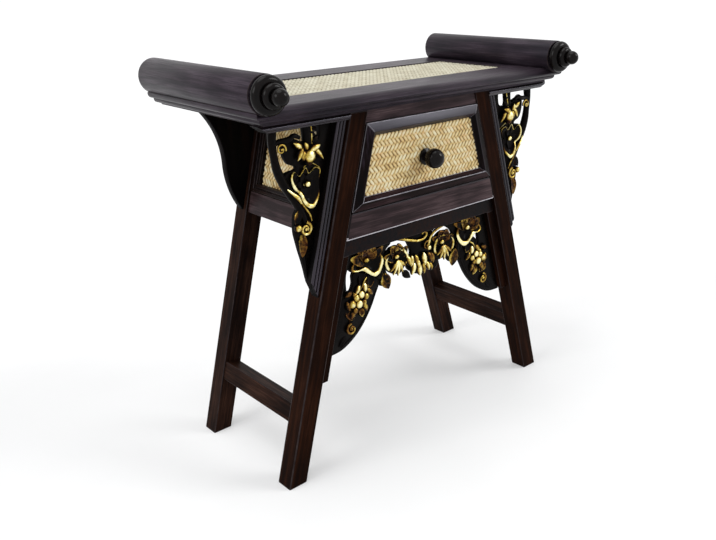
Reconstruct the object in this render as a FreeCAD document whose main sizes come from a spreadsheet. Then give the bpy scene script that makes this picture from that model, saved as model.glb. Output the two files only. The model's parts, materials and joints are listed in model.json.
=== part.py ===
import FreeCAD, Part
import os
from types import SimpleNamespace

import Sketcher
from FreeCAD import Placement, Rotation, Vector

# A free-standing sideboard with splayed legs, roll ends on the top, one drawer and carved brackets.
# Millimetres. X runs along the front, -Y is the front, Z is up.
# The origin is on the floor, under the middle of the whole object.

SIZES = {
    # top
    "top_width": 800,
    "top_depth": 386,
    "top_height": 750,
    "top_thickness": 32,
    "top_rail_width": 84,
    "top_front_extra": 16,
    "edge_nose_radius": 8.5,
    "front_round_run": 20,
    "front_round_fall": 11.5,
    "edge_neck_inset": 11,
    "edge_neck_height": 3,
    "edge_step_inset": 19,
    "edge_step_height": 7,
    "edge_foot_inset": 26,
    "panel_groove_depth": 10,
    "panel_groove_play": 1,
    "panel_lip": 4.5,
    "panel_thickness": 6,
    "mat_thickness": 3,
    # rolls and finials
    "roll_radius": 34,
    "roll_inset": 20,
    "roll_rise": 23.5,
    "roll_play": 0.2,
    "finial_length": 55,
    "finial_seat_radius": 28,
    "finial_ring_radius": 33,
    "finial_ring_length": 17,
    "finial_ring_rise": 7,
    "finial_mid_radius": 21.5,
    "finial_mid_rise": 5.5,
    "finial_neck_radius": 18,
    "finial_throat_radius": 10,
    "finial_ball_radius": 14.5,
    "spigot_radius": 8,
    "spigot_length": 22,
    "spigot_play": 0.2,
    # legs and stretchers
    "foot_half_spread": 383,
    "splay_angle": 15.3,
    "leg_size": 40,
    "leg_half_depth": 165,
    "stretcher_top": 163,
    "stretcher_height": 40,
    "stretcher_thickness": 34,
    "tenon_length": 15,
    "tenon_thickness": 10,
    "tenon_shoulder": 7,
    # rails between the legs
    "case_height": 189,
    "front_rail_height": 52,
    "side_rail_height": 44,
    "upper_rail_height": 23,
    "side_upper_rail_height": 28,
    "rail_thickness": 25,
    "front_top_rail_setback": 3,
    "front_top_rail_thickness": 20,
    "side_rail_inset": 5,
    "side_rail_thickness": 22,
    "back_rail_setback": 8,
    "back_panel_setback": 16,
    # side panels
    "side_board_thickness": 6,
    "bead_frame_width": 18,
    "bead_frame_depth": 15,
    "bead_height": 5,
    "bead_margin": 1,
    "bead_width": 6.5,
    # front brackets
    "bracket_setback": 6,
    "bracket_strip_width": 22,
    "bracket_strip_depth": 22,
    "bracket_strip_length": 325,
    "bracket_strip_slant": 34,
    "bracket_top_inset": 18,
    "bracket_top_height": 13,
    "bracket_top_proud": 2,
    "bracket_top_depth": 30,
    "carving_setback": 12,
    "carving_depth": 18,
    "petal_rise": 5,
    "stem_radius": 8,
    "stem_arc_radius": 118,
    "stem_drop": 46,
    "stem_reach": 120,
    "stem_first_angle": -45,
    "stem_sweep": 66,
    "bud_drop": 64,
    "bud_out": 41,
    "bud_radius": 34,
    "bloom_drop": 120,
    "bloom_out": 42,
    "bloom_radius": 39,
    "calyx_drop": 162,
    "calyx_out": 26,
    "calyx_radius": 20,
    "volute_drop": 201,
    "volute_out": 28,
    "volute_radius": 17,
    "tail_drop": 188,
    "tail_out": 45,
    "tail_waist_drop": 263,
    "tail_waist_out": 17,
    "tail_clear": 4,
    "knuckle_radius": 22,
    # rear brackets
    "rear_bracket_thickness": 18,
    "rear_bracket_reach": 150,
    "rear_bracket_height": 231,
    "rear_bracket_hollow_out": 86,
    "rear_bracket_hollow_drop": 66,
    "rear_bracket_waist_out": 57,
    "rear_bracket_waist_drop": 130,
    "rear_bracket_swell_out": 32,
    "rear_bracket_swell_drop": 188,
    # apron
    "apron_setback": 10,
    "apron_strip_depth": 20,
    "apron_strip_width": 20,
    "apron_left_strip_length": 248,
    "apron_right_strip_length": 201,
    "apron_top_height": 33,
    "apron_setback_carving": 15,
    "apron_depth": 15,
    "limb_length": 198,
    "limb_width": 22,
    "limb_bow_x": 172,
    "limb_bow_drop": 159,
    "limb_top_x": 118,
    "limb_top_drop": 92,
    "apron_bloom_x": 150,
    "apron_bloom_drop": 26,
    "apron_bloom_radius": 35,
    "apron_inner_x": 66,
    "apron_inner_drop": 40,
    "apron_inner_radius": 31,
    "apron_bud_drop": 70,
    "apron_bud_radius": 26,
    "apron_leaf_x": 98,
    "apron_leaf_drop": 76,
    "apron_leaf_radius": 20,
    "apron_link_x": 32,
    "apron_link_drop": 48,
    "apron_link_radius": 20,
    "apron_scroll_x": 24,
    "apron_scroll_radius": 13,
    "berry_radius": 9,
    "berry_pitch": 35,
    "berry_inset": 23,
    # drawer
    "drawer_gap": 1.5,
    "drawer_front_setback": 4,
    "drawer_front_thickness": 18,
    "drawer_length": 256,
    "drawer_leg_clear": 18,
    "drawer_side_thickness": 12,
    "drawer_side_fall": 33,
    "drawer_back_thickness": 12,
    "drawer_bottom_thickness": 5,
    "drawer_bottom_rise": 7,
    "drawer_bottom_groove": 5,
    "moulding_width": 25,
    "moulding_thickness": 12,
    "moulding_outer_fall": 7,
    "moulding_outer_slope": 15.5,
    "moulding_inner_fall": 9,
    "moulding_inner_slope": 8.5,
    "knob_drop": 5,
    "knob_collar_radius": 17,
    "knob_collar_length": 7,
    "knob_neck_radius": 10,
    "knob_length": 46,
    "knob_ball_radius": 20,
    "screw_radius": 2,
    "screw_head_radius": 4.5,
    "screw_head_length": 3,
    "screw_bite": 14,
    "screw_play": 0.15,
    # runners
    "runner_width": 32,
    "runner_height": 26,
    "runner_play": 0.3,
    "guide_thickness": 8,
    "guide_height": 15,
    "guide_play": 1.5,
    # screws through the upper rails into the top
    "top_screw_radius": 2.5,
    "top_screw_head_radius": 5,
    "top_screw_head_length": 3,
    "top_screw_sink": 6,
    "top_screw_bite": 18,
    "top_screw_x": 110,
}

doc = FreeCAD.newDocument("Sideboard")
sheet = doc.addObject("Spreadsheet::Sheet", "Sizes")
for row, (name, value) in enumerate(SIZES.items(), 1):
    sheet.set(f"A{row}", name)
    sheet.set(f"B{row}", str(value))
    sheet.setAlias(f"B{row}", name)
doc.recompute()

# Each size by name, as it is written in an expression.
d = SimpleNamespace(**{name: f"Sizes.{name}" for name in SIZES})

SIDES = {"left": -1, "right": 1}
FRONT_TILT = Rotation(Vector(1, 0, 0), 90)


def number(expression):
    return float(sheet.evalExpression(expression))


def total(*terms):
    return "(" + " + ".join(f"({term})" for term in terms) + ")"


def minus(first, *others):
    return "(" + " - ".join(f"({term})" for term in (first, *others)) + ")"


def half(term):
    return f"(({term}) / 2)"


def sided(side, term):
    return f"({side} * ({term}))"


# Places that several pieces share

TAN = f"tan({d.splay_angle})"
COS = f"cos({d.splay_angle})"
SIN = f"sin({d.splay_angle})"
MIDDLE_Y = half(d.finial_length)
TOP_UNDERSIDE = minus(d.top_height, d.top_thickness)
FRONT_Y = f"(-{d.leg_half_depth})"
BAY_HALF = minus(d.leg_half_depth, d.leg_size)
BAY = f"(2 * {BAY_HALF})"
ROLL_X = minus(half(d.top_width), d.roll_inset)
ROLL_Z = total(d.top_height, d.roll_rise)
RAIL_TOP = minus(TOP_UNDERSIDE, d.case_height)
RAIL_BOTTOM = minus(RAIL_TOP, d.front_rail_height)
UPPER_RAIL_BOTTOM = minus(TOP_UNDERSIDE, d.upper_rail_height)
RUNNER_TOP = total(RAIL_TOP, d.drawer_gap)
DRAWER_BOTTOM = total(RUNNER_TOP, d.runner_play)
DRAWER_TOP = minus(UPPER_RAIL_BOTTOM, d.drawer_gap)
KNOB_Z = minus(half(total(RUNNER_TOP, DRAWER_TOP)), d.knob_drop)
DRAWER_FACE = total(FRONT_Y, d.drawer_front_setback)
DRAWER_FRONT_BACK = total(DRAWER_FACE, d.drawer_front_thickness)
BRACKET_TOP_Z = minus(TOP_UNDERSIDE, d.bracket_top_height)
APRON_TOP_Z = minus(RAIL_BOTTOM, d.apron_top_height)


def along(width):
    """Level width of something that is `width` thick square to a leg."""
    return f"(({width}) / {COS})"


def leg_outer(z, out="0"):
    """Distance from the middle to a leg's outer face at height z, moved out square to the leg."""
    return f"({d.foot_half_spread} - ({z}) * {TAN} + {along(out)})"


def leg_inner(z, inward="0"):
    return minus(leg_outer(z), along(total(d.leg_size, inward)))


def tilted(out, z):
    """Point at height z on the legs' outer face, moved out square to that face."""
    return leg_outer(z) + f" + ({out}) * {COS}", f"({z}) + ({out}) * {SIN}"


def mirrored(side, points):
    return [(sided(side, point[0]), *point[1:]) for point in points]


# Making bodies


def new_body(label, x="0", y="0", z="0"):
    body = doc.addObject("PartDesign::Body", label)
    body.Label = label
    for axis, place in (("x", x), ("y", total(y, MIDDLE_Y)), ("z", z)):
        body.setExpression(f"Placement.Base.{axis}", place)
    return body


def new_sketch(body, plane, offset=None):
    sketch = body.newObject("Sketcher::SketchObject", f"{body.Name}_sketch")
    support = next(item for item in body.Origin.OriginFeatures if item.Role == plane)
    sketch.AttachmentSupport = [(support, "")]
    sketch.MapMode = "FlatFace"
    if offset is not None:
        sketch.setExpression("AttachmentOffset.Base.z", offset)
    return sketch


def pin_point(sketch, geometry, end, point, place):
    for kind, expression, value in zip(("DistanceX", "DistanceY"), point, place):
        index = sketch.addConstraint(Sketcher.Constraint(kind, -1, 1, geometry, end, value))
        sketch.setExpression(f"Constraints[{index}]", expression)


def outline(sketch, points):
    """Closed outline through points given as expressions; a third item "bow" makes that stretch an arc."""
    places = [Vector(number(point[0]), number(point[1]), 0) for point in points]
    corners = [index for index, point in enumerate(points) if len(point) == 2]
    ends = []
    for position, start in enumerate(corners):
        finish = corners[(position + 1) % len(corners)]
        bows = (start + 1) % len(points) != finish
        if bows:
            curve = Part.Arc(places[start], places[start + 1], places[finish])
        else:
            curve = Part.LineSegment(places[start], places[finish])
        geometry = sketch.addGeometry(curve, False)
        forward = sketch.getPoint(geometry, 1).distanceToPoint(places[start]) < 1e-6
        ends.append((geometry, 1 if forward else 2, 2 if forward else 1))
        if bows:
            dot = sketch.addGeometry(Part.Point(places[start + 1]), True)
            sketch.addConstraint(Sketcher.Constraint("PointOnObject", dot, 1, geometry))
            pin_point(sketch, dot, 1, points[start + 1], places[start + 1])
    for position, (geometry, first, last) in enumerate(ends):
        following, following_first, _ = ends[(position + 1) % len(ends)]
        sketch.addConstraint(Sketcher.Constraint("Coincident", geometry, last, following, following_first))
    for (geometry, first, _), corner in zip(ends, corners):
        pin_point(sketch, geometry, first, points[corner], places[corner])


def circle(sketch, x, y, radius):
    place = Vector(number(x), number(y), 0)
    geometry = sketch.addGeometry(Part.Circle(place, Vector(0, 0, 1), number(radius)), False)
    index = sketch.addConstraint(Sketcher.Constraint("Radius", geometry, number(radius)))
    sketch.setExpression(f"Constraints[{index}]", radius)
    pin_point(sketch, geometry, 3, (x, y), place)


def pad(body, sketch, length, reverse=False, symmetric=False):
    feature = body.newObject("PartDesign::Pad", f"{body.Name}_pad")
    feature.Profile = sketch
    feature.setExpression("Length", length)
    feature.Reversed = reverse
    if symmetric:
        feature.SideType = "Symmetric"
    return feature


def pocket(body, sketch, length=None, reverse=False):
    """Cut to a length, or right through both ways."""
    feature = body.newObject("PartDesign::Pocket", f"{body.Name}_pocket")
    feature.Profile = sketch
    feature.Reversed = reverse
    if length is None:
        feature.Type = "ThroughAll"
        feature.SideType = "Symmetric"
    else:
        feature.setExpression("Length", length)
    return feature


def add_prism(body, points, start, depth):
    """Outline in the XZ plane, padded back from start, measured from the body's own front."""
    sketch = new_sketch(body, "XZ_Plane", f"-({start})")
    outline(sketch, points)
    return pad(body, sketch, depth, reverse=True)


def cut_prism(body, points, start=None, depth=None):
    sketch = new_sketch(body, "XZ_Plane", None if start is None else f"-({start})")
    outline(sketch, points)
    return pocket(body, sketch, depth)


def prism(label, points, y, depth):
    body = new_body(label, y=y)
    add_prism(body, points, "0", depth)
    return body


def rectangle(x0, x1, y0, y1):
    return [(x0, y0), (x1, y0), (x1, y1), (x0, y1)]


def turned(label, points, x, y, z):
    """Turned piece: (radius, distance from its seat) about an axis that points forward from (x, y, z)."""
    body = new_body(label, x, y, z)
    sketch = new_sketch(body, "XY_Plane")
    outline(sketch, [(point[0], f"-({point[1]})", *point[2:]) for point in points])
    feature = body.newObject("PartDesign::Revolution", f"{label}_turning")
    feature.Profile = sketch
    feature.ReferenceAxis = (sketch, ["V_Axis"])
    return body


# Solids added to a carving: discs, balls and curled stems, all facing forward

# Shares of a flower's radius
HEART_SHARE = 0.6
PETAL_ORBIT_SHARE = 0.58
PETAL_SHARE = 0.42
EYE_SHARE = 0.24


def place_feature(feature, x, y, z, turn=0):
    feature.Placement = Placement(Vector(), FRONT_TILT * Rotation(Vector(0, 0, 1), turn))
    for axis, place in (("x", x), ("y", y), ("z", z)):
        feature.setExpression(f"Placement.Base.{axis}", place)


def add_disc(body, x, z, radius, back, depth):
    feature = body.newObject("PartDesign::AdditiveCylinder", f"{body.Name}_disc")
    feature.setExpression("Radius", radius)
    feature.setExpression("Height", depth)
    place_feature(feature, x, back, z)


def add_ball(body, x, y, z, radius):
    feature = body.newObject("PartDesign::AdditiveSphere", f"{body.Name}_ball")
    feature.setExpression("Radius", radius)
    place_feature(feature, x, y, z)


def add_curl(body, x, y, z, radius, stem, first, sweep):
    feature = body.newObject("PartDesign::AdditiveTorus", f"{body.Name}_curl")
    feature.setExpression("Radius1", radius)
    feature.setExpression("Radius2", stem)
    feature.setExpression("Angle3", sweep)
    place_feature(feature, x, y, z, number(first))


def add_bloom(body, x, z, radius, back, depth, petals=5, turn=90):
    """Open flower: a disc, a ring of petal discs that stand higher, and a ball in the middle."""
    add_disc(body, x, z, f"({HEART_SHARE} * {radius})", back, depth)
    for petal in range(petals):
        angle = f"({turn} + 360 * {petal} / {petals})"
        add_disc(
            body,
            total(x, f"{PETAL_ORBIT_SHARE} * {radius} * cos({angle})"),
            total(z, f"{PETAL_ORBIT_SHARE} * {radius} * sin({angle})"),
            f"({PETAL_SHARE} * {radius})",
            back,
            total(depth, d.petal_rise),
        )
    add_ball(body, x, minus(back, depth), z, f"({EYE_SHARE} * {radius})")


# Top


def edge_profile(outer, toward, width, run, fall):
    """Rail with a moulded edge, rounded over a run and a fall; `toward` is the sign of the way in."""
    def point(inset, fall, *bow):
        return (total(outer, f"{toward} * ({inset})"), minus(d.top_height, fall), *bow)

    radius = f"(({run}^2 + {fall}^2) / (2 * {fall}))"
    turn = f"(asin({run} / {radius}) / 2)"
    nose = f"(2 * {d.edge_nose_radius})"
    under = minus(nose, fall)
    neck = total(nose, d.edge_neck_height)
    step = total(neck, d.edge_step_height)
    diagonal = total(d.edge_neck_inset, f"0.3 * ({d.edge_step_inset} - {d.edge_neck_inset})")
    groove_bottom = total(d.panel_lip, d.panel_thickness)
    groove_inset = minus(width, d.panel_groove_depth)
    return [
        point(run, "0"),
        point(minus(run, f"{radius} * sin({turn})"), f"({radius} * (1 - cos({turn})))", "bow"),
        point("0", fall),
        point(f"(0.29 * {under})", minus(nose, f"0.29 * {under}"), "bow"),
        point(under, nose),
        point(d.edge_neck_inset, nose),
        point(d.edge_neck_inset, neck),
        point(diagonal, total(neck, f"0.7 * {d.edge_step_height}"), "bow"),
        point(d.edge_step_inset, step),
        point(d.edge_foot_inset, step),
        point(d.edge_foot_inset, d.top_thickness),
        point(width, d.top_thickness),
        point(width, groove_bottom),
        point(groove_inset, groove_bottom),
        point(groove_inset, d.panel_lip),
        point(width, d.panel_lip),
        point(width, "0"),
    ]


def cut_roll_seat(body, side):
    sketch = new_sketch(body, "XZ_Plane")
    circle(sketch, sided(side, ROLL_X), ROLL_Z, total(d.roll_radius, d.roll_play))
    pocket(body, sketch)


half_width = half(d.top_width)
half_depth = half(d.top_depth)
opening_x = minus(half_width, d.top_rail_width)
front_rail_width = total(d.top_rail_width, d.top_front_extra)
opening_back = minus(half_depth, d.top_rail_width)
opening_front = minus(half_depth, front_rail_width)

front_rail = new_body("top_front_rail")
sketch = new_sketch(front_rail, "YZ_Plane")
outline(sketch, edge_profile(f"-{half_depth}", 1, front_rail_width, d.front_round_run, d.front_round_fall))
pad(front_rail, sketch, d.top_width, symmetric=True)
for side in SIDES.values():
    mitre = [
        (half_width, f"-{half_depth}"),
        (half_width, f"-{opening_front}"),
        (opening_x, f"-{opening_front}"),
        (opening_x, f"-{opening_back}"),
    ]
    sketch = new_sketch(front_rail, "XY_Plane")
    outline(sketch, mirrored(side, mitre))
    pocket(front_rail, sketch)
    cut_roll_seat(front_rail, side)

back_rail = new_body("top_back_rail")
sketch = new_sketch(back_rail, "YZ_Plane")
groove_y = total(opening_back, d.panel_groove_depth)
lip_z = minus(d.top_height, d.panel_lip)
groove_z = minus(lip_z, d.panel_thickness)
outline(sketch, [
    (half_depth, d.top_height),
    (half_depth, TOP_UNDERSIDE),
    (opening_back, TOP_UNDERSIDE),
    (opening_back, groove_z),
    (groove_y, groove_z),
    (groove_y, lip_z),
    (opening_back, lip_z),
    (opening_back, d.top_height),
])
pad(back_rail, sketch, f"(2 * {opening_x})", symmetric=True)

for name, side in SIDES.items():
    end_rail = new_body(f"top_{name}_end", y=f"-{half_depth}")
    nose = d.edge_nose_radius
    profile = edge_profile(sided(side, half_width), -side, d.top_rail_width, nose, nose)
    add_prism(end_rail, profile, "0", d.top_depth)
    sketch = new_sketch(end_rail, "XY_Plane")
    mitre = [(half_width, "0"), (opening_x, "0"), (opening_x, d.top_rail_width)]
    outline(sketch, mirrored(side, mitre))
    pocket(end_rail, sketch)
    cut_roll_seat(end_rail, side)

tongue = minus(d.panel_groove_depth, d.panel_groove_play)
board_x = total(opening_x, tongue)
board_front = f"-{total(opening_front, tongue)}"
board_depth = total(opening_front, opening_back, tongue, tongue)
prism("top_panel_board", rectangle(f"-{board_x}", board_x, groove_z, lip_z), board_front, board_depth)
mat_z = total(lip_z, d.mat_thickness)
mat_face = rectangle(f"-{opening_x}", opening_x, lip_z, mat_z)
prism("top_woven_mat", mat_face, f"-{opening_front}", total(opening_front, opening_back))

ring_end = d.finial_ring_length
ball_middle = minus(d.finial_length, d.finial_ball_radius)
ball_start = minus(ball_middle, f"sqrt({d.finial_ball_radius}^2 - {d.finial_throat_radius}^2)")
finial_outline = [
    ("0", f"-{d.spigot_length}"),
    (d.spigot_radius, f"-{d.spigot_length}"),
    (d.spigot_radius, "0"),
    (d.finial_seat_radius, "0"),
    (d.finial_ring_radius, d.finial_ring_rise, "bow"),
    (d.finial_neck_radius, ring_end),
    (d.finial_mid_radius, total(ring_end, d.finial_mid_rise), "bow"),
    (d.finial_throat_radius, ball_start),
    (d.finial_ball_radius, ball_middle, "bow"),
    ("0", d.finial_length),
]
for name, side in SIDES.items():
    roll = new_body(f"{name}_roll", sided(side, ROLL_X), f"-{half_depth}", ROLL_Z)
    sketch = new_sketch(roll, "XZ_Plane")
    circle(sketch, "0", "0", d.roll_radius)
    pad(roll, sketch, d.top_depth, reverse=True)
    sketch = new_sketch(roll, "XZ_Plane")
    circle(sketch, "0", "0", total(d.spigot_radius, d.spigot_play))
    pocket(roll, sketch, total(d.spigot_length, d.spigot_play))
    turned(f"{name}_finial", finial_outline, sided(side, ROLL_X), f"-{half_depth}", ROLL_Z)

# Legs, stretchers and the rails that join the legs of one side


def side_bar(z_top, height, inset, thickness):
    """Bar section square to the legs, its outer upper edge at z_top."""
    low = minus(z_top, f"({height}) * {COS}")
    outer = f"-({inset})"
    inner = f"-(({inset}) + ({thickness}))"
    return [tilted(outer, z_top), tilted(inner, z_top), tilted(inner, low), tilted(outer, low)]


def side_tenon(z_top, height, inset, thickness):
    middle = total(inset, half(minus(thickness, d.tenon_thickness)))
    return side_bar(
        minus(z_top, f"{d.tenon_shoulder} * {COS}"),
        minus(height, f"2 * {d.tenon_shoulder}"),
        middle,
        d.tenon_thickness,
    )


side_rail_height = along(d.side_rail_height)
stretcher_inset = half(minus(d.leg_size, d.stretcher_thickness))
side_members = {
    "stretcher": (d.stretcher_top, d.stretcher_height, stretcher_inset, d.stretcher_thickness),
    "side_lower_rail": (RAIL_TOP, side_rail_height, d.side_rail_inset, d.side_rail_thickness),
}
rail_tenon_low = total(RAIL_BOTTOM, d.tenon_shoulder)
rail_tenon_high = minus(RAIL_TOP, d.tenon_shoulder)
rail_tenon_start = half(minus(d.rail_thickness, d.tenon_thickness))


def rail_tenon_tip(z):
    return total(leg_inner(z), d.tenon_length)


for name, side in SIDES.items():
    for end, y in (("front", FRONT_Y), ("rear", BAY_HALF)):
        leg = prism(f"{end}_{name}_leg", mirrored(side, [
            (leg_outer("0"), "0"),
            (leg_inner("0"), "0"),
            (leg_inner(TOP_UNDERSIDE), TOP_UNDERSIDE),
            (leg_outer(TOP_UNDERSIDE), TOP_UNDERSIDE),
        ]), y, d.leg_size)
        mortise_start = minus(d.leg_size, d.tenon_length) if end == "front" else "0"
        for member in side_members.values():
            cut_prism(leg, mirrored(side, side_tenon(*member)), mortise_start, d.tenon_length)
        rail_start = "0" if end == "front" else d.back_rail_setback
        cut_prism(leg, mirrored(side, [
            (leg_inner(rail_tenon_low), rail_tenon_low),
            (rail_tenon_tip(rail_tenon_low), rail_tenon_low),
            (rail_tenon_tip(rail_tenon_high), rail_tenon_high),
            (leg_inner(rail_tenon_high), rail_tenon_high),
        ]), total(rail_start, rail_tenon_start), d.tenon_thickness)
    for piece, member in side_members.items():
        bar = prism(f"{name}_{piece}", mirrored(side, side_bar(*member)), f"-{BAY_HALF}", BAY)
        tenon = mirrored(side, side_tenon(*member))
        add_prism(bar, tenon, f"-{d.tenon_length}", total(BAY, f"2 * {d.tenon_length}"))

# Rails along the front and back


def between_legs(low, high, inward="0"):
    return [
        (f"-{leg_inner(low, inward)}", low),
        (leg_inner(low, inward), low),
        (leg_inner(high, inward), high),
        (f"-{leg_inner(high, inward)}", high),
    ]


def lower_rail(label, y):
    rail = prism(label, between_legs(RAIL_BOTTOM, RAIL_TOP), y, d.rail_thickness)
    tenon = [
        (f"-{rail_tenon_tip(rail_tenon_low)}", rail_tenon_low),
        (rail_tenon_tip(rail_tenon_low), rail_tenon_low),
        (rail_tenon_tip(rail_tenon_high), rail_tenon_high),
        (f"-{rail_tenon_tip(rail_tenon_high)}", rail_tenon_high),
    ]
    add_prism(rail, tenon, rail_tenon_start, d.tenon_thickness)


lower_rail("front_lower_rail", FRONT_Y)
back_rail_y = total(BAY_HALF, d.back_rail_setback)
lower_rail("back_lower_rail", back_rail_y)
upper = between_legs(UPPER_RAIL_BOTTOM, TOP_UNDERSIDE)
front_top_rail_y = total(FRONT_Y, d.front_top_rail_setback)
top_rails = {
    "front_top_rail": (front_top_rail_y, d.front_top_rail_thickness),
    "back_top_rail": (back_rail_y, d.rail_thickness),
}
screw_heads = total(UPPER_RAIL_BOTTOM, d.top_screw_sink)


def screw_circles(body, z, radius, *places):
    """Sketch at height z with a circle for each top screw in the rails at these depths."""
    sketch = new_sketch(body, "XY_Plane", z)
    for y in places:
        for side in SIDES.values():
            circle(sketch, sided(side, d.top_screw_x), y, radius)
    return sketch


shank_hole = total(d.top_screw_radius, d.screw_play)
head_hole = total(d.top_screw_head_radius, d.screw_play)
for label, (y, depth) in top_rails.items():
    rail = prism(label, upper, y, depth)
    pocket(rail, screw_circles(rail, "0", shank_hole, half(depth)))
    sunk = screw_circles(rail, UPPER_RAIL_BOTTOM, head_hole, half(depth))
    pocket(rail, sunk, d.top_screw_sink, reverse=True)
screw_places = [total(y, half(depth)) for y, depth in top_rails.values()]
for board, y in zip((front_rail, back_rail), screw_places):
    pocket(board, screw_circles(board, TOP_UNDERSIDE, shank_hole, y), d.top_screw_bite, reverse=True)
screws = new_body("top_screws")
screws.AllowCompound = True
shank = total(minus(TOP_UNDERSIDE, screw_heads), d.top_screw_bite)
pad(screws, screw_circles(screws, screw_heads, d.top_screw_radius, *screw_places), shank)
heads = screw_circles(screws, screw_heads, d.top_screw_head_radius, *screw_places)
pad(screws, heads, d.top_screw_head_length, reverse=True)
back_panel_y = total(BAY_HALF, d.back_panel_setback)
prism("back_panel", between_legs(RAIL_TOP, UPPER_RAIL_BOTTOM), back_panel_y, d.panel_thickness)

# Side panels: upper rail, backing board, woven mat and beaded frame

panel_low = RAIL_TOP
panel_high = minus(TOP_UNDERSIDE, d.side_upper_rail_height)
board_inset = total(d.side_rail_inset, d.bead_frame_depth)
board_height = f"(({panel_high} - {panel_low}) / {COS})"
mat_inset = minus(board_inset, d.mat_thickness)
mat_top = minus(panel_high, f"{d.bead_frame_width} * {COS}")
mat_height = minus(board_height, f"2 * {d.bead_frame_width}")
mat_half = minus(BAY_HALF, d.bead_frame_width)


def bead_ring(body, side, margin, width, height):
    """Rectangular ring on the tilted side plane, standing up from the backing board."""
    sketch = new_sketch(body, "YZ_Plane", sided(side, f"-{board_inset}"))
    low = f"({panel_low} / {COS})"
    high = f"({panel_high} / {COS})"
    for inset in (margin, total(margin, width)):
        reach = minus(BAY_HALF, inset)
        outline(sketch, rectangle(f"-{reach}", reach, total(low, inset), minus(high, inset)))
    pad(body, sketch, height, reverse=side < 0)


for name, side in SIDES.items():
    rail_inner = total(d.side_rail_inset, d.side_rail_thickness)
    prism(f"{name}_side_top_rail", mirrored(side, [
        (leg_outer(TOP_UNDERSIDE, f"-{d.side_rail_inset}"), TOP_UNDERSIDE),
        (leg_outer(TOP_UNDERSIDE, f"-{rail_inner}"), TOP_UNDERSIDE),
        tilted(f"-{rail_inner}", panel_high),
        tilted(f"-{d.side_rail_inset}", panel_high),
    ]), f"-{BAY_HALF}", BAY)
    board = side_bar(panel_high, board_height, board_inset, d.side_board_thickness)
    prism(f"{name}_panel_board", mirrored(side, board), f"-{BAY_HALF}", BAY)
    mat = side_bar(mat_top, mat_height, mat_inset, d.mat_thickness)
    prism(f"{name}_woven_mat", mirrored(side, mat), f"-{mat_half}", f"2 * {mat_half}")
    frame = new_body(f"{name}_bead_frame", sided(side, d.foot_half_spread))
    frame.Placement.Rotation = Rotation(Vector(0, -side, 0), number(d.splay_angle))
    frame.setExpression("Placement.Rotation.Angle", d.splay_angle)
    bead_ring(frame, side, "0", d.bead_frame_width, minus(d.bead_frame_depth, d.bead_height))
    second = minus(d.bead_frame_width, d.bead_margin, d.bead_width)
    for margin in (d.bead_margin, second):
        bead_ring(frame, side, margin, d.bead_width, d.bead_frame_depth)

# Front brackets

carving_front = total(FRONT_Y, d.carving_setback)


strip_end = minus(BRACKET_TOP_Z, d.bracket_strip_length)
bracket_top_reach = minus(half_width, d.bracket_top_inset)


def strip_outer(z):
    return leg_outer(z, d.bracket_strip_width)


def beside_strip(drop, out):
    """Point this far below the top and this far out from the leg strip."""
    z = minus(TOP_UNDERSIDE, drop)
    return total(strip_outer(z), out), z


def trim_carving(carving, side, face, top, bottom, away):
    """Cut a carving square to the strips that hold it: above the top strip, and beyond the leg strip."""
    far = d.top_width
    sky = total(d.top_height, d.top_height)
    cut_prism(carving, mirrored(side, rectangle(f"-{far}", far, top, sky)))
    cut_prism(carving, mirrored(side, [
        (face(bottom), bottom),
        (total(face(bottom), f"{away} * {far}"), bottom),
        (total(face(top), f"{away} * {far}"), top),
        (face(top), top),
    ]))


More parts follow.
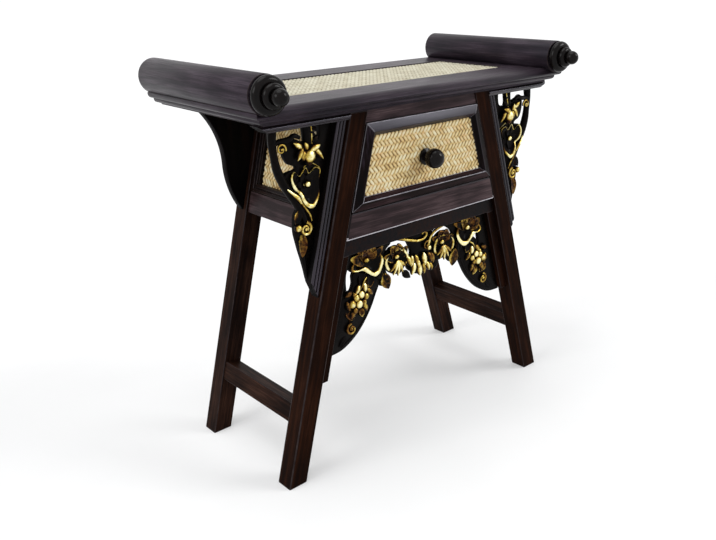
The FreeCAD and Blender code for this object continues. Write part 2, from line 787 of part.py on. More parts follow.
for name, side in SIDES.items():
    prism(f"front_{name}_bracket_top_strip", mirrored(side, [
        (leg_outer(TOP_UNDERSIDE), TOP_UNDERSIDE),
        (bracket_top_reach, TOP_UNDERSIDE),
        (minus(bracket_top_reach, d.bracket_top_height), BRACKET_TOP_Z),
        (leg_outer(BRACKET_TOP_Z), BRACKET_TOP_Z),
    ]), minus(FRONT_Y, d.bracket_top_proud), d.bracket_top_depth)
    strip_slant_top = total(strip_end, d.bracket_strip_slant)
    prism(f"front_{name}_bracket_leg_strip", mirrored(side, [
        (leg_outer(BRACKET_TOP_Z), BRACKET_TOP_Z),
        (strip_outer(BRACKET_TOP_Z), BRACKET_TOP_Z),
        (strip_outer(strip_slant_top), strip_slant_top),
        (leg_outer(strip_end), strip_end),
    ]), total(FRONT_Y, d.bracket_setback), d.bracket_strip_depth)

    carving = new_body(f"front_{name}_bracket_carving", y=carving_front)
    back = d.carving_depth
    depth = d.carving_depth
    tail_low = total(strip_slant_top, d.tail_clear)
    tail = beside_strip(d.tail_drop, d.tail_out)
    waist = beside_strip(d.tail_waist_drop, d.tail_waist_out)
    bud = beside_strip(d.bud_drop, d.bud_out)
    bloom = beside_strip(d.bloom_drop, d.bloom_out)
    calyx = beside_strip(d.calyx_drop, d.calyx_out)
    volute = beside_strip(d.volute_drop, d.volute_out)
    add_prism(carving, mirrored(side, [
        (strip_outer(tail[1]), tail[1]),
        tail,
        waist,
        (strip_outer(tail_low), tail_low),
    ]), "0", depth)
    spine = (bud, bloom, calyx, volute)
    add_prism(carving, mirrored(side, [(total(x, d.stem_radius), z) for x, z in spine]
                                + [(minus(x, d.stem_radius), z) for x, z in spine[::-1]]), "0", depth)
    add_disc(carving, sided(side, volute[0]), volute[1], d.volute_radius, back, total(depth, d.petal_rise))
    add_disc(carving, sided(side, calyx[0]), calyx[1], d.calyx_radius, back, depth)
    add_bloom(carving, sided(side, bloom[0]), bloom[1], d.bloom_radius, back, depth)
    add_bloom(carving, sided(side, bud[0]), bud[1], d.bud_radius, back, depth, turn=54)
    stalk = (minus(bud[0], d.stem_radius), total(bud[0], d.stem_radius))
    add_prism(carving, mirrored(side, rectangle(*stalk, bud[1], BRACKET_TOP_Z)), "0", depth)
    arc = d.stem_arc_radius
    stem_x, stem_z = beside_strip(d.stem_drop, minus(d.stem_reach, arc))
    first = d.stem_first_angle if side > 0 else minus("180", d.stem_first_angle, d.stem_sweep)
    add_curl(carving, sided(side, stem_x), half(depth), stem_z, arc, d.stem_radius, first, d.stem_sweep)
    for z in (bloom[1], bud[1]):
        add_disc(carving, sided(side, strip_outer(z)), z, d.knuckle_radius, back, depth)
    trim_carving(carving, side, strip_outer, BRACKET_TOP_Z, strip_end, -1)

# Rear brackets, plain boards with a hollow edge that swells out again lower down

rear_bracket_y = minus(d.leg_half_depth, half(total(d.leg_size, d.rear_bracket_thickness)))


def beside_leg(drop, out):
    """Point this far below the top and this far out from the legs' outer face."""
    z = minus(TOP_UNDERSIDE, drop)
    return total(leg_outer(z), out), z


for name, side in SIDES.items():
    prism(f"rear_{name}_bracket", mirrored(side, [
        beside_leg("0", "0"),
        beside_leg("0", d.rear_bracket_reach),
        (*beside_leg(d.rear_bracket_hollow_drop, d.rear_bracket_hollow_out), "bow"),
        beside_leg(d.rear_bracket_waist_drop, d.rear_bracket_waist_out),
        (*beside_leg(d.rear_bracket_swell_drop, d.rear_bracket_swell_out), "bow"),
        beside_leg(d.rear_bracket_height, "0"),
    ]), rear_bracket_y, d.rear_bracket_thickness)

# Apron between the front legs

apron_y = total(FRONT_Y, d.apron_setback)


def strip_inner(z):
    return leg_inner(z, d.apron_strip_width)


def below_apron(drop):
    return minus(APRON_TOP_Z, drop)


apron_top = between_legs(APRON_TOP_Z, RAIL_BOTTOM)
prism("apron_top_strip", apron_top, apron_y, d.apron_strip_depth)
strip_lengths = {"left": d.apron_left_strip_length, "right": d.apron_right_strip_length}
for name, side in SIDES.items():
    end = below_apron(strip_lengths[name])
    prism(f"apron_{name}_strip", mirrored(side, [
        (leg_inner(APRON_TOP_Z), APRON_TOP_Z),
        (strip_inner(APRON_TOP_Z), APRON_TOP_Z),
        (strip_inner(end), end),
        (leg_inner(end), end),
    ]), apron_y, d.apron_strip_depth)

apron = new_body("apron_carving", y=total(FRONT_Y, d.apron_setback_carving))
back = d.apron_depth
depth = d.apron_depth
bloom_z = below_apron(d.apron_bloom_drop)
inner_z = below_apron(d.apron_inner_drop)
limb_end = below_apron(d.limb_length)
add_bloom(apron, "0", below_apron(d.apron_bud_drop), d.apron_bud_radius, back, depth)
for side in SIDES.values():
    link_x = sided(side, d.apron_link_x)
    add_disc(apron, link_x, below_apron(d.apron_link_drop), d.apron_link_radius, back, depth)
    add_bloom(apron, sided(side, d.apron_inner_x), inner_z, d.apron_inner_radius, back, depth)
    curl_x = sided(side, d.apron_scroll_x)
    curl_z = below_apron(d.apron_scroll_radius)
    add_curl(apron, curl_x, half(depth), curl_z, d.apron_scroll_radius, half(d.stem_radius), "0", "360")
    leaf_x = sided(side, d.apron_leaf_x)
    leaf_z = below_apron(d.apron_leaf_drop)
    add_disc(apron, leaf_x, leaf_z, d.apron_leaf_radius, back, total(depth, d.petal_rise))
    joint_x = sided(side, half(total(d.apron_inner_x, d.apron_bloom_x)))
    add_disc(apron, joint_x, half(total(inner_z, bloom_z)), d.apron_leaf_radius, back, depth)
    add_bloom(apron, sided(side, d.apron_bloom_x), bloom_z, d.apron_bloom_radius, back, depth)
    add_prism(apron, mirrored(side, [
        (strip_inner(bloom_z), bloom_z),
        (strip_inner(limb_end), limb_end),
        (minus(strip_inner(limb_end), d.limb_width), limb_end),
        (d.limb_bow_x, below_apron(d.limb_bow_drop), "bow"),
        (d.limb_top_x, below_apron(d.limb_top_drop)),
        (d.apron_bloom_x, bloom_z),
    ]), "0", depth)
    for step in (1, 2, 3):
        berry_z = minus(bloom_z, d.apron_bloom_radius, f"{step} * {d.berry_pitch}")
        berry_x = sided(side, minus(strip_inner(berry_z), d.berry_inset))
        add_ball(apron, berry_x, "0", berry_z, d.berry_radius)
    trim_carving(apron, side, strip_inner, APRON_TOP_Z, limb_end, 1)

# Drawer


def drawer_outline(inward):
    """Drawer front's outline, moved in by a width on every side."""
    low = total(RUNNER_TOP, inward)
    high = minus(DRAWER_TOP, inward)
    return between_legs(low, high, total(d.drawer_gap, inward))


def drill(body, x, z, radius):
    sketch = new_sketch(body, "XZ_Plane")
    circle(sketch, x, z, radius)
    pocket(body, sketch)


screw_hole = total(d.screw_radius, d.screw_play)
front_board = prism("drawer_front", drawer_outline("0"), DRAWER_FACE, d.drawer_front_thickness)
drill(front_board, "0", KNOB_Z, screw_hole)
drawer_mat_y = minus(DRAWER_FACE, d.mat_thickness)
drawer_mat = prism("drawer_woven_mat", drawer_outline(d.moulding_width), drawer_mat_y, d.mat_thickness)
drill(drawer_mat, "0", KNOB_Z, screw_hole)


def long_front_edge(shape, corner, following):
    """Name of the edge on a moulding's front face that joins two corners of its outline."""
    for index, edge in enumerate(shape.Edges, 1):
        ends = [vertex.Point for vertex in edge.Vertexes]
        if len(ends) != 2 or max(abs(end.y) for end in ends) > 1e-6:
            continue
        flat = [Vector(end.x, 0, end.z) for end in ends]
        for a, b in (flat, flat[::-1]):
            if a.distanceToPoint(corner) < 1e-3 and b.distanceToPoint(following) < 1e-3:
                return f"Edge{index}"
    raise RuntimeError("moulding edge not found")


def add_slope(body, feature, start, finish, fall, slope):
    """Plane the front of a moulding down towards one of its long edges."""
    doc.recompute()
    places = [Vector(number(x), 0, number(z)) for x, z in (start, finish)]
    cut = body.newObject("PartDesign::Chamfer", f"{body.Name}_slope")
    name = long_front_edge(feature.Shape, *places)
    cut.Base = (feature, [name])
    cut.ChamferType = "Two distances"
    faces = feature.Shape.ancestorsOfType(feature.Shape.getElement(name), Part.Face)
    first_is_front = abs(faces[0].normalAt(0, 0).y) > 0.5
    cut.setExpression("Size", slope if first_is_front else fall)
    cut.setExpression("Size2", fall if first_is_front else slope)
    return cut


outer = drawer_outline("0")
inner = drawer_outline(d.moulding_width)
moulding_y = minus(DRAWER_FACE, d.moulding_thickness)
for index, place in enumerate(("bottom", "right", "top", "left")):
    following = (index + 1) % 4
    stick = new_body(f"drawer_moulding_{place}", y=moulding_y)
    corners = [outer[index], outer[following], inner[following], inner[index]]
    flat = add_prism(stick, corners, "0", d.moulding_thickness)
    sloped = add_slope(stick, flat, corners[0], corners[1], d.moulding_outer_fall, d.moulding_outer_slope)
    add_slope(stick, sloped, corners[2], corners[3], d.moulding_inner_fall, d.moulding_inner_slope)

box_length = minus(d.drawer_length, d.drawer_front_thickness)
box_bottom = DRAWER_BOTTOM
box_top = minus(DRAWER_TOP, d.drawer_side_fall)
floor_low = total(box_bottom, d.drawer_bottom_rise)
floor_high = total(floor_low, d.drawer_bottom_thickness)
box_half = minus(leg_inner(box_top), d.drawer_leg_clear)
side_inner = minus(box_half, d.drawer_side_thickness)
floor_half = total(side_inner, d.drawer_bottom_groove)
for name, side in SIDES.items():
    prism(f"drawer_{name}_side", mirrored(side, [
        (box_half, box_bottom),
        (box_half, box_top),
        (side_inner, box_top),
        (side_inner, floor_high),
        (floor_half, floor_high),
        (floor_half, floor_low),
        (side_inner, floor_low),
        (side_inner, box_bottom),
    ]), DRAWER_FRONT_BACK, box_length)
floor = rectangle(f"-{floor_half}", floor_half, floor_low, floor_high)
prism("drawer_bottom", floor, DRAWER_FRONT_BACK, box_length)
drawer_back = rectangle(f"-{side_inner}", side_inner, floor_high, box_top)
drawer_back_y = total(DRAWER_FRONT_BACK, minus(box_length, d.drawer_back_thickness))
prism("drawer_back", drawer_back, drawer_back_y, d.drawer_back_thickness)

knob_seat_y = minus(DRAWER_FACE, d.mat_thickness)
ball_middle = minus(d.knob_length, d.knob_ball_radius)
ball_start = minus(ball_middle, f"sqrt({d.knob_ball_radius}^2 - {d.knob_neck_radius}^2)")
bore_end = total(d.screw_bite, d.screw_play)
turned("drawer_knob", [
    (screw_hole, "0"),
    (d.knob_collar_radius, "0"),
    (d.knob_collar_radius, half(d.knob_collar_length)),
    (d.knob_neck_radius, d.knob_collar_length),
    (d.knob_neck_radius, ball_start),
    (d.knob_ball_radius, ball_middle, "bow"),
    ("0", d.knob_length),
    ("0", bore_end),
    (screw_hole, bore_end),
], "0", knob_seat_y, KNOB_Z)
screw_reach = total(d.drawer_front_thickness, d.mat_thickness, d.screw_bite)
turned("drawer_knob_screw", [
    ("0", f"-{d.screw_head_length}"),
    (d.screw_head_radius, f"-{d.screw_head_length}"),
    (d.screw_head_radius, "0"),
    (d.screw_radius, "0"),
    (d.screw_radius, screw_reach),
    ("0", screw_reach),
], "0", DRAWER_FRONT_BACK, KNOB_Z)

# Runners that carry and guide the drawer

runner_y = total(FRONT_Y, d.rail_thickness)
runner_length = minus(back_rail_y, runner_y)
guide_inner = total(box_half, d.guide_play)
guide_outer = total(guide_inner, d.guide_thickness)
runner_inner = minus(guide_outer, d.runner_width)
runner_low = minus(RUNNER_TOP, d.runner_height)
guide_top = total(RUNNER_TOP, d.guide_height)
for name, side in SIDES.items():
    prism(f"{name}_drawer_runner", mirrored(side, [
        (runner_inner, runner_low),
        (guide_outer, runner_low),
        (guide_outer, guide_top),
        (guide_inner, guide_top),
        (guide_inner, RUNNER_TOP),
        (runner_inner, RUNNER_TOP),
    ]), runner_y, runner_length)

doc.recompute()

bodies = [item for item in doc.Objects if item.isDerivedFrom("PartDesign::Body")]
faults = [item.Name for item in doc.Objects if {"Invalid", "Error"} & set(item.State)]
faults += [body.Label for body in bodies if body.Shape.isNull() or not body.Shape.isValid()]
if faults:
    raise RuntimeError(f"not built: {faults}")

os.makedirs("parts", exist_ok=True)
for body in bodies:
    body.Shape.exportStep(f"parts/{body.Label}.step")
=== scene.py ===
import json
from math import ceil, cos, inf, pi, radians, sin, sqrt, tan

import bmesh
import bpy
import numpy as np
from mathutils import Matrix, Vector


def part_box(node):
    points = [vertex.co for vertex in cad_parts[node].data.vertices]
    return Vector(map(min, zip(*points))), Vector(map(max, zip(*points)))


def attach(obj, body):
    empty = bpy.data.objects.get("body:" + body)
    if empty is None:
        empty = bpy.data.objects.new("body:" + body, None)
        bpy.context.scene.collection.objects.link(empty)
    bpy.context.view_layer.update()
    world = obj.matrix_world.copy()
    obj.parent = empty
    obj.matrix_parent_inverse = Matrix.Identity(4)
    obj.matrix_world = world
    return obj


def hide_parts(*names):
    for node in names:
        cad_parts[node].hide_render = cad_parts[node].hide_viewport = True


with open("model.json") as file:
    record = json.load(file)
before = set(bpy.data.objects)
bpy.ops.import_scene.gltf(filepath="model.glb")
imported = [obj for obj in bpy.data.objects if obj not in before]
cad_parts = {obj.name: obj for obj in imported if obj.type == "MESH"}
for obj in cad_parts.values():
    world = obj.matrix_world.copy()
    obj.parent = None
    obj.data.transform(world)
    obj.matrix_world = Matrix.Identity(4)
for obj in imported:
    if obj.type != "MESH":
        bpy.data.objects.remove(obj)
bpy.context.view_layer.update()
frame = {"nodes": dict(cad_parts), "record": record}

# A dark sideboard with woven panels and gilt carving. Metres, in the frame of the solids.

MM = 0.001
NODES = frame["nodes"]
SLOTS = {row["node"]: row["material_slot"] for row in frame["record"]["subparts"]}
BODY_OF = {node: body for body, nodes in frame["record"]["behaviour"]["bodies"].items() for node in nodes}
SIDES = {"left": -1, "right": 1}
SPLAY = radians(15.3)  # lean of the legs
random = np.random.default_rng(7)


# Shader building

MIX_FACTOR, MIX_FIRST, MIX_SECOND, MIX_RESULT = 0, 6, 7, 2  # sockets of a colour mix
GLOSS = "Specular IOR Level"
USUAL = (0.3, 0.7)  # where most values of a noise lie


def set_inputs(tree, node, inputs):
    """Link a node's inputs to other sockets, or give them values."""
    for key, value in inputs.items():
        if isinstance(value, bpy.types.NodeSocket):
            tree.links.new(value, node.inputs[key])
        else:
            node.inputs[key].default_value = value


def add(tree, kind, inputs=None, **settings):
    """Shader node with its settings and inputs."""
    node = tree.nodes.new("ShaderNode" + kind)
    for key, value in settings.items():
        setattr(node, key, value)
    set_inputs(tree, node, inputs or {})
    return node


def new_material(name):
    material = bpy.data.materials.new(name)
    material.use_nodes = True
    tree = material.node_tree
    return material, tree, tree.nodes["Principled BSDF"]


def ramp(tree, factor, stops):
    """Colour that runs through (place, colour) stops."""
    node = add(tree, "ValToRGB", {"Fac": factor})
    elements = node.color_ramp.elements
    while len(elements) < len(stops):
        elements.new(0.5)
    for element, (place, colour) in zip(elements, stops):
        element.position = place
        element.color = (*colour, 1)
    return node.outputs["Color"]


def span(tree, value, low, high, to_low=0.0, to_high=1.0):
    """Value taken from one range to another, and held at its ends."""
    inputs = {"Value": value, "From Min": low, "From Max": high, "To Min": to_low, "To Max": to_high}
    return add(tree, "MapRange", inputs).outputs["Result"]


def noise(tree, vector, scale=1.0, detail=4.0, roughness=0.55):
    inputs = {"Vector": vector, "Scale": scale, "Detail": detail, "Roughness": roughness}
    return add(tree, "TexNoise", inputs).outputs["Fac"]


def mix(tree, factor, first, second, blend="MIX"):
    """Two colours blended by a factor."""
    first, second = ((*colour, 1) if isinstance(colour, tuple) else colour for colour in (first, second))
    inputs = {MIX_FACTOR: factor, MIX_FIRST: first, MIX_SECOND: second}
    return add(tree, "Mix", inputs, data_type="RGBA", blend_type=blend).outputs[MIX_RESULT]


def bump(tree, height, distance, strength):
    inputs = {"Height": height, "Distance": distance, "Strength": strength}
    return add(tree, "Bump", inputs).outputs["Normal"]


def maths(tree, operation, first, second):
    return add(tree, "Math", {0: first, 1: second}, operation=operation).outputs[0]


def place_of(tree):
    """Place of a point in the frame."""
    return add(tree, "TexCoord").outputs["Object"]


def height_of(tree, vector):
    return add(tree, "SeparateXYZ", {0: vector}).outputs["Z"]


def scaled(tree, vector, scale):
    return add(tree, "Mapping", {"Vector": vector, "Scale": scale}).outputs["Vector"]


def grain_space(tree, direction):
    """Coordinates turned so that the grain runs along the first axis."""
    turn = Vector((1, 0, 0)).rotation_difference(Vector(direction)).inverted().to_euler()
    return add(tree, "Mapping", {"Vector": place_of(tree), "Rotation": turn}).outputs["Vector"]


# Colours, in linear light

BLACK = (0.0045, 0.0036, 0.0036)
SHADE = (0.0028, 0.0024, 0.0024)
NIGHT = (0.015, 0.0115, 0.0155)
ESPRESSO = (0.0095, 0.0052, 0.0044)
PLUM = (0.033, 0.023, 0.031)
GREY_BROWN = (0.062, 0.046, 0.06)
PLUM_BLACK = (0.018, 0.0098, 0.0096)
WINE = (0.034, 0.0165, 0.0185)
MAUVE = (0.06, 0.036, 0.038)
TAUPE = (0.115, 0.074, 0.076)
UMBER = (0.0075, 0.0032, 0.0021)
BROWN = (0.0175, 0.006, 0.0028)
RED_BROWN = (0.033, 0.0112, 0.0052)
CHESTNUT = (0.029, 0.0125, 0.0078)
RUSSET = (0.054, 0.024, 0.015)
WORN_AND_HIGHLIGHT_BROWN = (0.04, 0.028, 0.026)
# painted sheen of the top moulding
PAINTED_SHEEN_GREY = (0.15, 0.145, 0.165)
# painted highlights on arrises
PAINTED_HIGHLIGHT_GREYS = ((0.22, 0.21, 0.235), (0.54, 0.52, 0.57))
PAINTED_HIGHLIGHT_WHITES = ((0.42, 0.39, 0.42), (0.8, 0.77, 0.82))
LILAC = (0.86, 0.84, 1.0, 1)
JET = (0.0028, 0.0026, 0.0028)
JET_BROWN = (0.009, 0.0062, 0.0058)
SOOT = (0.002, 0.0018, 0.002)
SOOT_BROWN = (0.007, 0.0046, 0.0036)
RUST = (0.05, 0.014, 0.006)
OLD_GOLD = (0.17, 0.082, 0.016)
GOLD = (0.56, 0.41, 0.075)
PAINTED_HIGHLIGHT_GOLD = (1.0, 0.93, 0.52)
BOARD_BROWN = (0.1, 0.055, 0.032)
BOARD_PALE = (0.23, 0.14, 0.085)
BOARD_PORE = (0.06, 0.032, 0.02)
STEEL_GREY = (0.42, 0.42, 0.43)
STEEL_PALE = (0.6, 0.6, 0.61)
# Straw: painted shade in the dips, middle, painted highlight on the crowns, and the tint of its aged patches
WARM_STRAW = ((0.26, 0.135, 0.042), (0.82, 0.6, 0.255), (0.98, 0.92, 0.66), (0.86, 0.5, 0.26))
# the top mat's straw, paler and cooler: a painted sheen
PAINTED_SHEEN_STRAW_TONES = ((0.33, 0.28, 0.185), (0.54, 0.5, 0.37), (0.7, 0.68, 0.55), (0.95, 0.85, 0.7))


# Materials; marks per metre along the first axis and across it

FIGURE = (7, 95, 95)
STREAKS = (16, 520, 520)
PORES = (60, 1900, 1900)
BOARD_FIGURE = (9, 160, 160)
BOARD_PORES = (45, 1500, 1500)
LATHE_RINGS = (60, 700, 60)
FIBRES = (40, 900, 1)


def wood(name, grain, dark, middle, light, polish, roughness=0.36, painted_sheen=None):
    """Dark stained hardwood under thin lacquer, which may carry a painted sheen, pale lilac grey, between two
    heights.
    """
    material, tree, shader = new_material(name)
    space = grain_space(tree, grain)
    figure = noise(tree, scaled(tree, space, FIGURE), detail=5.0, roughness=0.6)
    streaks = noise(tree, scaled(tree, space, STREAKS), detail=3.0, roughness=0.6)
    pores = noise(tree, scaled(tree, space, PORES), detail=2.0, roughness=0.5)
    cloud = noise(tree, space, 9.0, detail=2.0, roughness=0.5)
    tone = maths(tree, "ADD", span(tree, figure, *USUAL), span(tree, cloud, 0.35, 0.65, -0.25, 0.25))
    colour = ramp(tree, tone, [(0.15, dark), (0.55, middle), (0.95, light)])
    colour = mix(tree, span(tree, streaks, 0.42, 0.62, 0.0, 0.6), colour, dark)
    colour = mix(tree, span(tree, pores, 0.56, 0.7, 0.0, 0.5), colour, dark)
    # painted sheen: pale lilac grey between two heights, standing in for reflected light
    if painted_sheen is not None:
        colour = mix(tree, span(tree, height_of(tree, place_of(tree)), *painted_sheen), colour, PAINTED_SHEEN_GREY)
    set_inputs(tree, shader, {
        "Base Color": colour,
        "Roughness": span(tree, streaks, *USUAL, roughness - 0.06, roughness + 0.1),
        "Normal": bump(tree, maths(tree, "ADD", streaks, pores), 0.2 * MM, 0.3),
        GLOSS: polish,
        "Specular Tint": LILAC,
    })
    return material


def woods(name, grains, *colours, **finish):
    """The same wood with its grain in several directions."""
    return {key: wood(f"{name}_{key}", grain, *colours, **finish) for key, grain in grains.items()}


def worn_and_highlight_edge(name, dull, painted_sheen, polish, below=None, upward=False):
    """Arris paler than the wood, partly worn stain and partly painted highlight; given a height, only the
    arris below it is pale, and given upward, only its upward side: both painted highlight.
    """
    material, tree, shader = new_material(name)
    space = place_of(tree)
    rub = noise(tree, space, 60.0, roughness=0.6)
    colour = ramp(tree, rub, [(0.3, dull), (0.7, painted_sheen)])
    # painted highlight line: above the height the arris stays dark
    if below is not None:
        colour = mix(tree, span(tree, height_of(tree, space), below, below + MM), colour, ESPRESSO)
    # painted highlight from above: only the side that faces up is pale
    if upward:
        facing = height_of(tree, add(tree, "NewGeometry").outputs["Normal"])
        colour = mix(tree, span(tree, facing, 0.0, 0.5), ESPRESSO, colour)
    set_inputs(tree, shader, {
        "Base Color": colour,
        "Roughness": span(tree, rub, *USUAL, 0.42, 0.3),
        GLOSS: polish,
        "Specular Tint": LILAC,
    })
    return material


def turned_gloss(name, roughness, polish):
    """Black stained turning with a polished gloss."""
    material, tree, shader = new_material(name)
    rings = noise(tree, scaled(tree, place_of(tree), LATHE_RINGS))
    set_inputs(tree, shader, {
        "Base Color": ramp(tree, rings, [(0.3, JET), (0.75, JET_BROWN)]),
        "Roughness": span(tree, rings, *USUAL, roughness, roughness + 0.07),
        "Normal": bump(tree, rings, 0.05 * MM, 0.2),
        GLOSS: polish,
    })
    return material


def straw(name, brown, golden, pale, aged):
    """Woven strands; each vertex carries its strand's tone with painted shade and highlight added, and the
    UVs run along and across the strand.
    """
    material, tree, shader = new_material(name)
    strand = add(tree, "UVMap", uv_map="strand").outputs["UV"]
    tone = add(tree, "Attribute", attribute_name="tone").outputs["Fac"]
    fibres = noise(tree, scaled(tree, strand, FIBRES))
    patches = noise(tree, place_of(tree), 35.0, detail=3.0, roughness=0.6)
    age = noise(tree, place_of(tree), 70.0, roughness=0.7)
    tone = maths(tree, "ADD", tone, span(tree, fibres, 0.25, 0.75, -0.12, 0.12))
    tone = maths(tree, "ADD", tone, span(tree, patches, *USUAL, -0.18, 0.18))
    colour = ramp(tree, tone, [(0.0, brown), (0.42, golden), (0.85, pale)])
    set_inputs(tree, shader, {
        "Base Color": mix(tree, span(tree, age, 0.52, 0.7, 0.0, 0.4), colour, aged, "MULTIPLY"),
        "Roughness": span(tree, fibres, *USUAL, 0.5, 0.66),
        "Normal": bump(tree, fibres, 0.2 * MM, 0.5),
        GLOSS: 0.3,
    })
    return material


def gilt_black(name):
    """Black carving with worn gold; the gilt attribute says how much, from rust to pale gold, whose pale end
    is painted highlight.
    """
    material, tree, shader = new_material(name)
    space = place_of(tree)
    gilt = add(tree, "Attribute", attribute_name="gilt").outputs["Fac"]
    rub = noise(tree, space, 150.0, detail=5.0, roughness=0.65)
    patch = noise(tree, space, 45.0, detail=3.0)
    worn = maths(tree, "ADD", gilt, span(tree, rub, *USUAL, -0.22, 0.22))
    richness = maths(tree, "ADD", worn, span(tree, patch, *USUAL, -0.22, 0.22))
    # the pale top of the ramp is painted highlight
    gold = ramp(tree, span(tree, richness, 0.0, 1.2),
                [(0.2, RUST), (0.46, OLD_GOLD), (0.7, GOLD), (0.95, PAINTED_HIGHLIGHT_GOLD)])
    black = ramp(tree, rub, [(0.3, SOOT), (0.8, SOOT_BROWN)])
    cover = span(tree, worn, 0.26, 0.5)
    set_inputs(tree, shader, {
        "Base Color": mix(tree, cover, black, gold),
        "Metallic": span(tree, cover, 0.0, 1.0, 0.0, 0.85),
        "Roughness": span(tree, rub, *USUAL, 0.24, 0.4),
        "Normal": bump(tree, rub, 0.3 * MM, 0.4),
        GLOSS: 0.04,
    })
    return material


def plain_wood(name):
    """Unlacquered brown boards inside."""
    material, tree, shader = new_material(name)
    space = grain_space(tree, ALONG["x"])
    figure = noise(tree, scaled(tree, space, BOARD_FIGURE), detail=5.0, roughness=0.6)
    pores = noise(tree, scaled(tree, space, BOARD_PORES), detail=2.0, roughness=0.5)
    base = ramp(tree, figure, [(0.25, BOARD_BROWN), (0.75, BOARD_PALE)])
    set_inputs(tree, shader, {
        "Base Color": mix(tree, span(tree, pores, 0.5, 0.7, 0.0, 0.5), base, BOARD_PORE),
        "Roughness": span(tree, figure, *USUAL, 0.55, 0.7),
        "Normal": bump(tree, pores, 0.2 * MM, 0.4),
    })
    return material


def steel(name):
    material, tree, shader = new_material(name)
    scratches = noise(tree, place_of(tree), 900.0, detail=3.0, roughness=0.6)
    set_inputs(tree, shader, {
        "Base Color": ramp(tree, scratches, [(0.3, STEEL_GREY), (0.7, STEEL_PALE)]),
        "Roughness": span(tree, scratches, *USUAL, 0.28, 0.45),
        "Metallic": 1.0,
    })
    return material


ALONG = {"x": (1, 0, 0), "y": (0, 1, 0), "z": (0, 0, 1)}
FLAT_GRAIN = {axis: ALONG[axis] for axis in "xy"}
LEG_GRAIN = {name: (-side * sin(SPLAY), 0, cos(SPLAY)) for name, side in SIDES.items()}
BEAD_GRAIN = {**LEG_GRAIN, "x": ALONG["x"]}
PAINTED_SHEEN_START = 6 * MM  # height in a rail or moulding where its painted sheen starts or its painted highlight ends
moulding_low, moulding_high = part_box("drawer_moulding_top")
rail_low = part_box("front_lower_rail")[0]

TOP_WOOD = woods("top_wood", FLAT_GRAIN, NIGHT, PLUM, GREY_BROWN, polish=0.11, roughness=0.34)
RAIL_WOOD = woods("rail_wood", FLAT_GRAIN, PLUM_BLACK, MAUVE, TAUPE, polish=0.11)
LEG_WOOD = woods("leg_wood", LEG_GRAIN, UMBER, BROWN, RED_BROWN, polish=0.015, roughness=0.45)
REAR_LEG_WOOD = woods("rear_leg_wood", LEG_GRAIN, UMBER, CHESTNUT, RUSSET, polish=0.025, roughness=0.42)
STRETCHER_WOOD = wood("stretcher_wood", ALONG["y"], UMBER, CHESTNUT, RUSSET, polish=0.025, roughness=0.42)
DARK_WOOD = wood("dark_wood", ALONG["y"], BLACK, ESPRESSO, BROWN, polish=0.07, roughness=0.4)
# a near-black copy of the wood as painted shade, for the rear brackets and the moulded strips' ends and last
# side
SHADED_WOOD = wood("shaded_wood", ALONG["z"], SHADE, BLACK, ESPRESSO, polish=0.03, roughness=0.5)
# The drawer's mouldings: the upright ones in a darker copy of the wood as painted shade, the top one with a
# painted sheen
MOULDING_WOOD = {
    "x": wood("moulding_wood_x", ALONG["x"], ESPRESSO, WINE, MAUVE, polish=0.03, roughness=0.4),
    "z": wood("moulding_wood_z", ALONG["z"], BLACK, ESPRESSO, PLUM, polish=0.03, roughness=0.4),
    "top": wood("moulding_wood_top", ALONG["x"], BLACK, PLUM, MAUVE, polish=0.14, roughness=0.3,
                painted_sheen=(moulding_low.z + PAINTED_SHEEN_START, moulding_high.z)),
}
BEAD_WOOD = woods("bead_wood", BEAD_GRAIN, BLACK, ESPRESSO, PLUM, polish=0.42, roughness=0.24)
# Pale arrises: on most pieces partly wear and partly painted highlight; on the lower rail and the mouldings,
# painted highlight
EDGE = worn_and_highlight_edge("worn_and_highlight_edge", ESPRESSO, WORN_AND_HIGHLIGHT_BROWN, polish=0.12)
BRIGHT_EDGE = worn_and_highlight_edge("painted_highlight_edge", *PAINTED_HIGHLIGHT_WHITES, polish=0.15, below=rail_low.z + PAINTED_SHEEN_START)
MOULDING_EDGE = worn_and_highlight_edge("moulding_edge", *PAINTED_HIGHLIGHT_GREYS, polish=0.35, upward=True)
TURNED = turned_gloss("turned_gloss", roughness=0.08, polish=0.11)
FINIAL = turned_gloss("finial_gloss", roughness=0.14, polish=0.1)
STRAW = straw("woven_straw", *WARM_STRAW)
# the top mat's straw: painted sheen
PAINTED_SHEEN_STRAW = straw("woven_straw_painted_sheen", *PAINTED_SHEEN_STRAW_TONES)
GILT = gilt_black("gilt_carving")
PLAIN = plain_wood("plain_wood")
STEEL = steel("steel")


def wood_for(node):
    """Material of a node: by its slot, then by its place and the longest way of its grain."""
    by_slot = {"inner_wood": PLAIN, "steel": STEEL, "turned_wood": FINIAL if "finial" in node else TURNED}
    if SLOTS[node] in by_slot:
        return by_slot[SLOTS[node]]
    low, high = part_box(node)
    size = high - low
    upright = size.z > max(size.x, size.y)
    lengthwise = "x" if size.x > size.y else "y"
    # the rear brackets take the painted shade wood
    if node.startswith("rear") and "bracket" in node:
        return SHADED_WOOD
    if "stretcher" in node:
        return STRETCHER_WOOD
    if node.endswith("bead_frame") or node == "apron_top_strip":
        return DARK_WOOD
    if node.startswith("top_") or node.endswith("_roll"):
        return TOP_WOOD[lengthwise]
    if node == "drawer_moulding_top":
        return MOULDING_WOOD["top"]
    if "moulding" in node:
        # upright mouldings take the darker copy: painted shade
        return MOULDING_WOOD["z" if upright else "x"]
    if upright:
        uprights = REAR_LEG_WOOD if node.startswith("rear") else LEG_WOOD
        return uprights["left" if low.x + high.x < 0 else "right"]
    return RAIL_WOOD[lengthwise]


# Dressing the solids: material by slot, and eased arrises

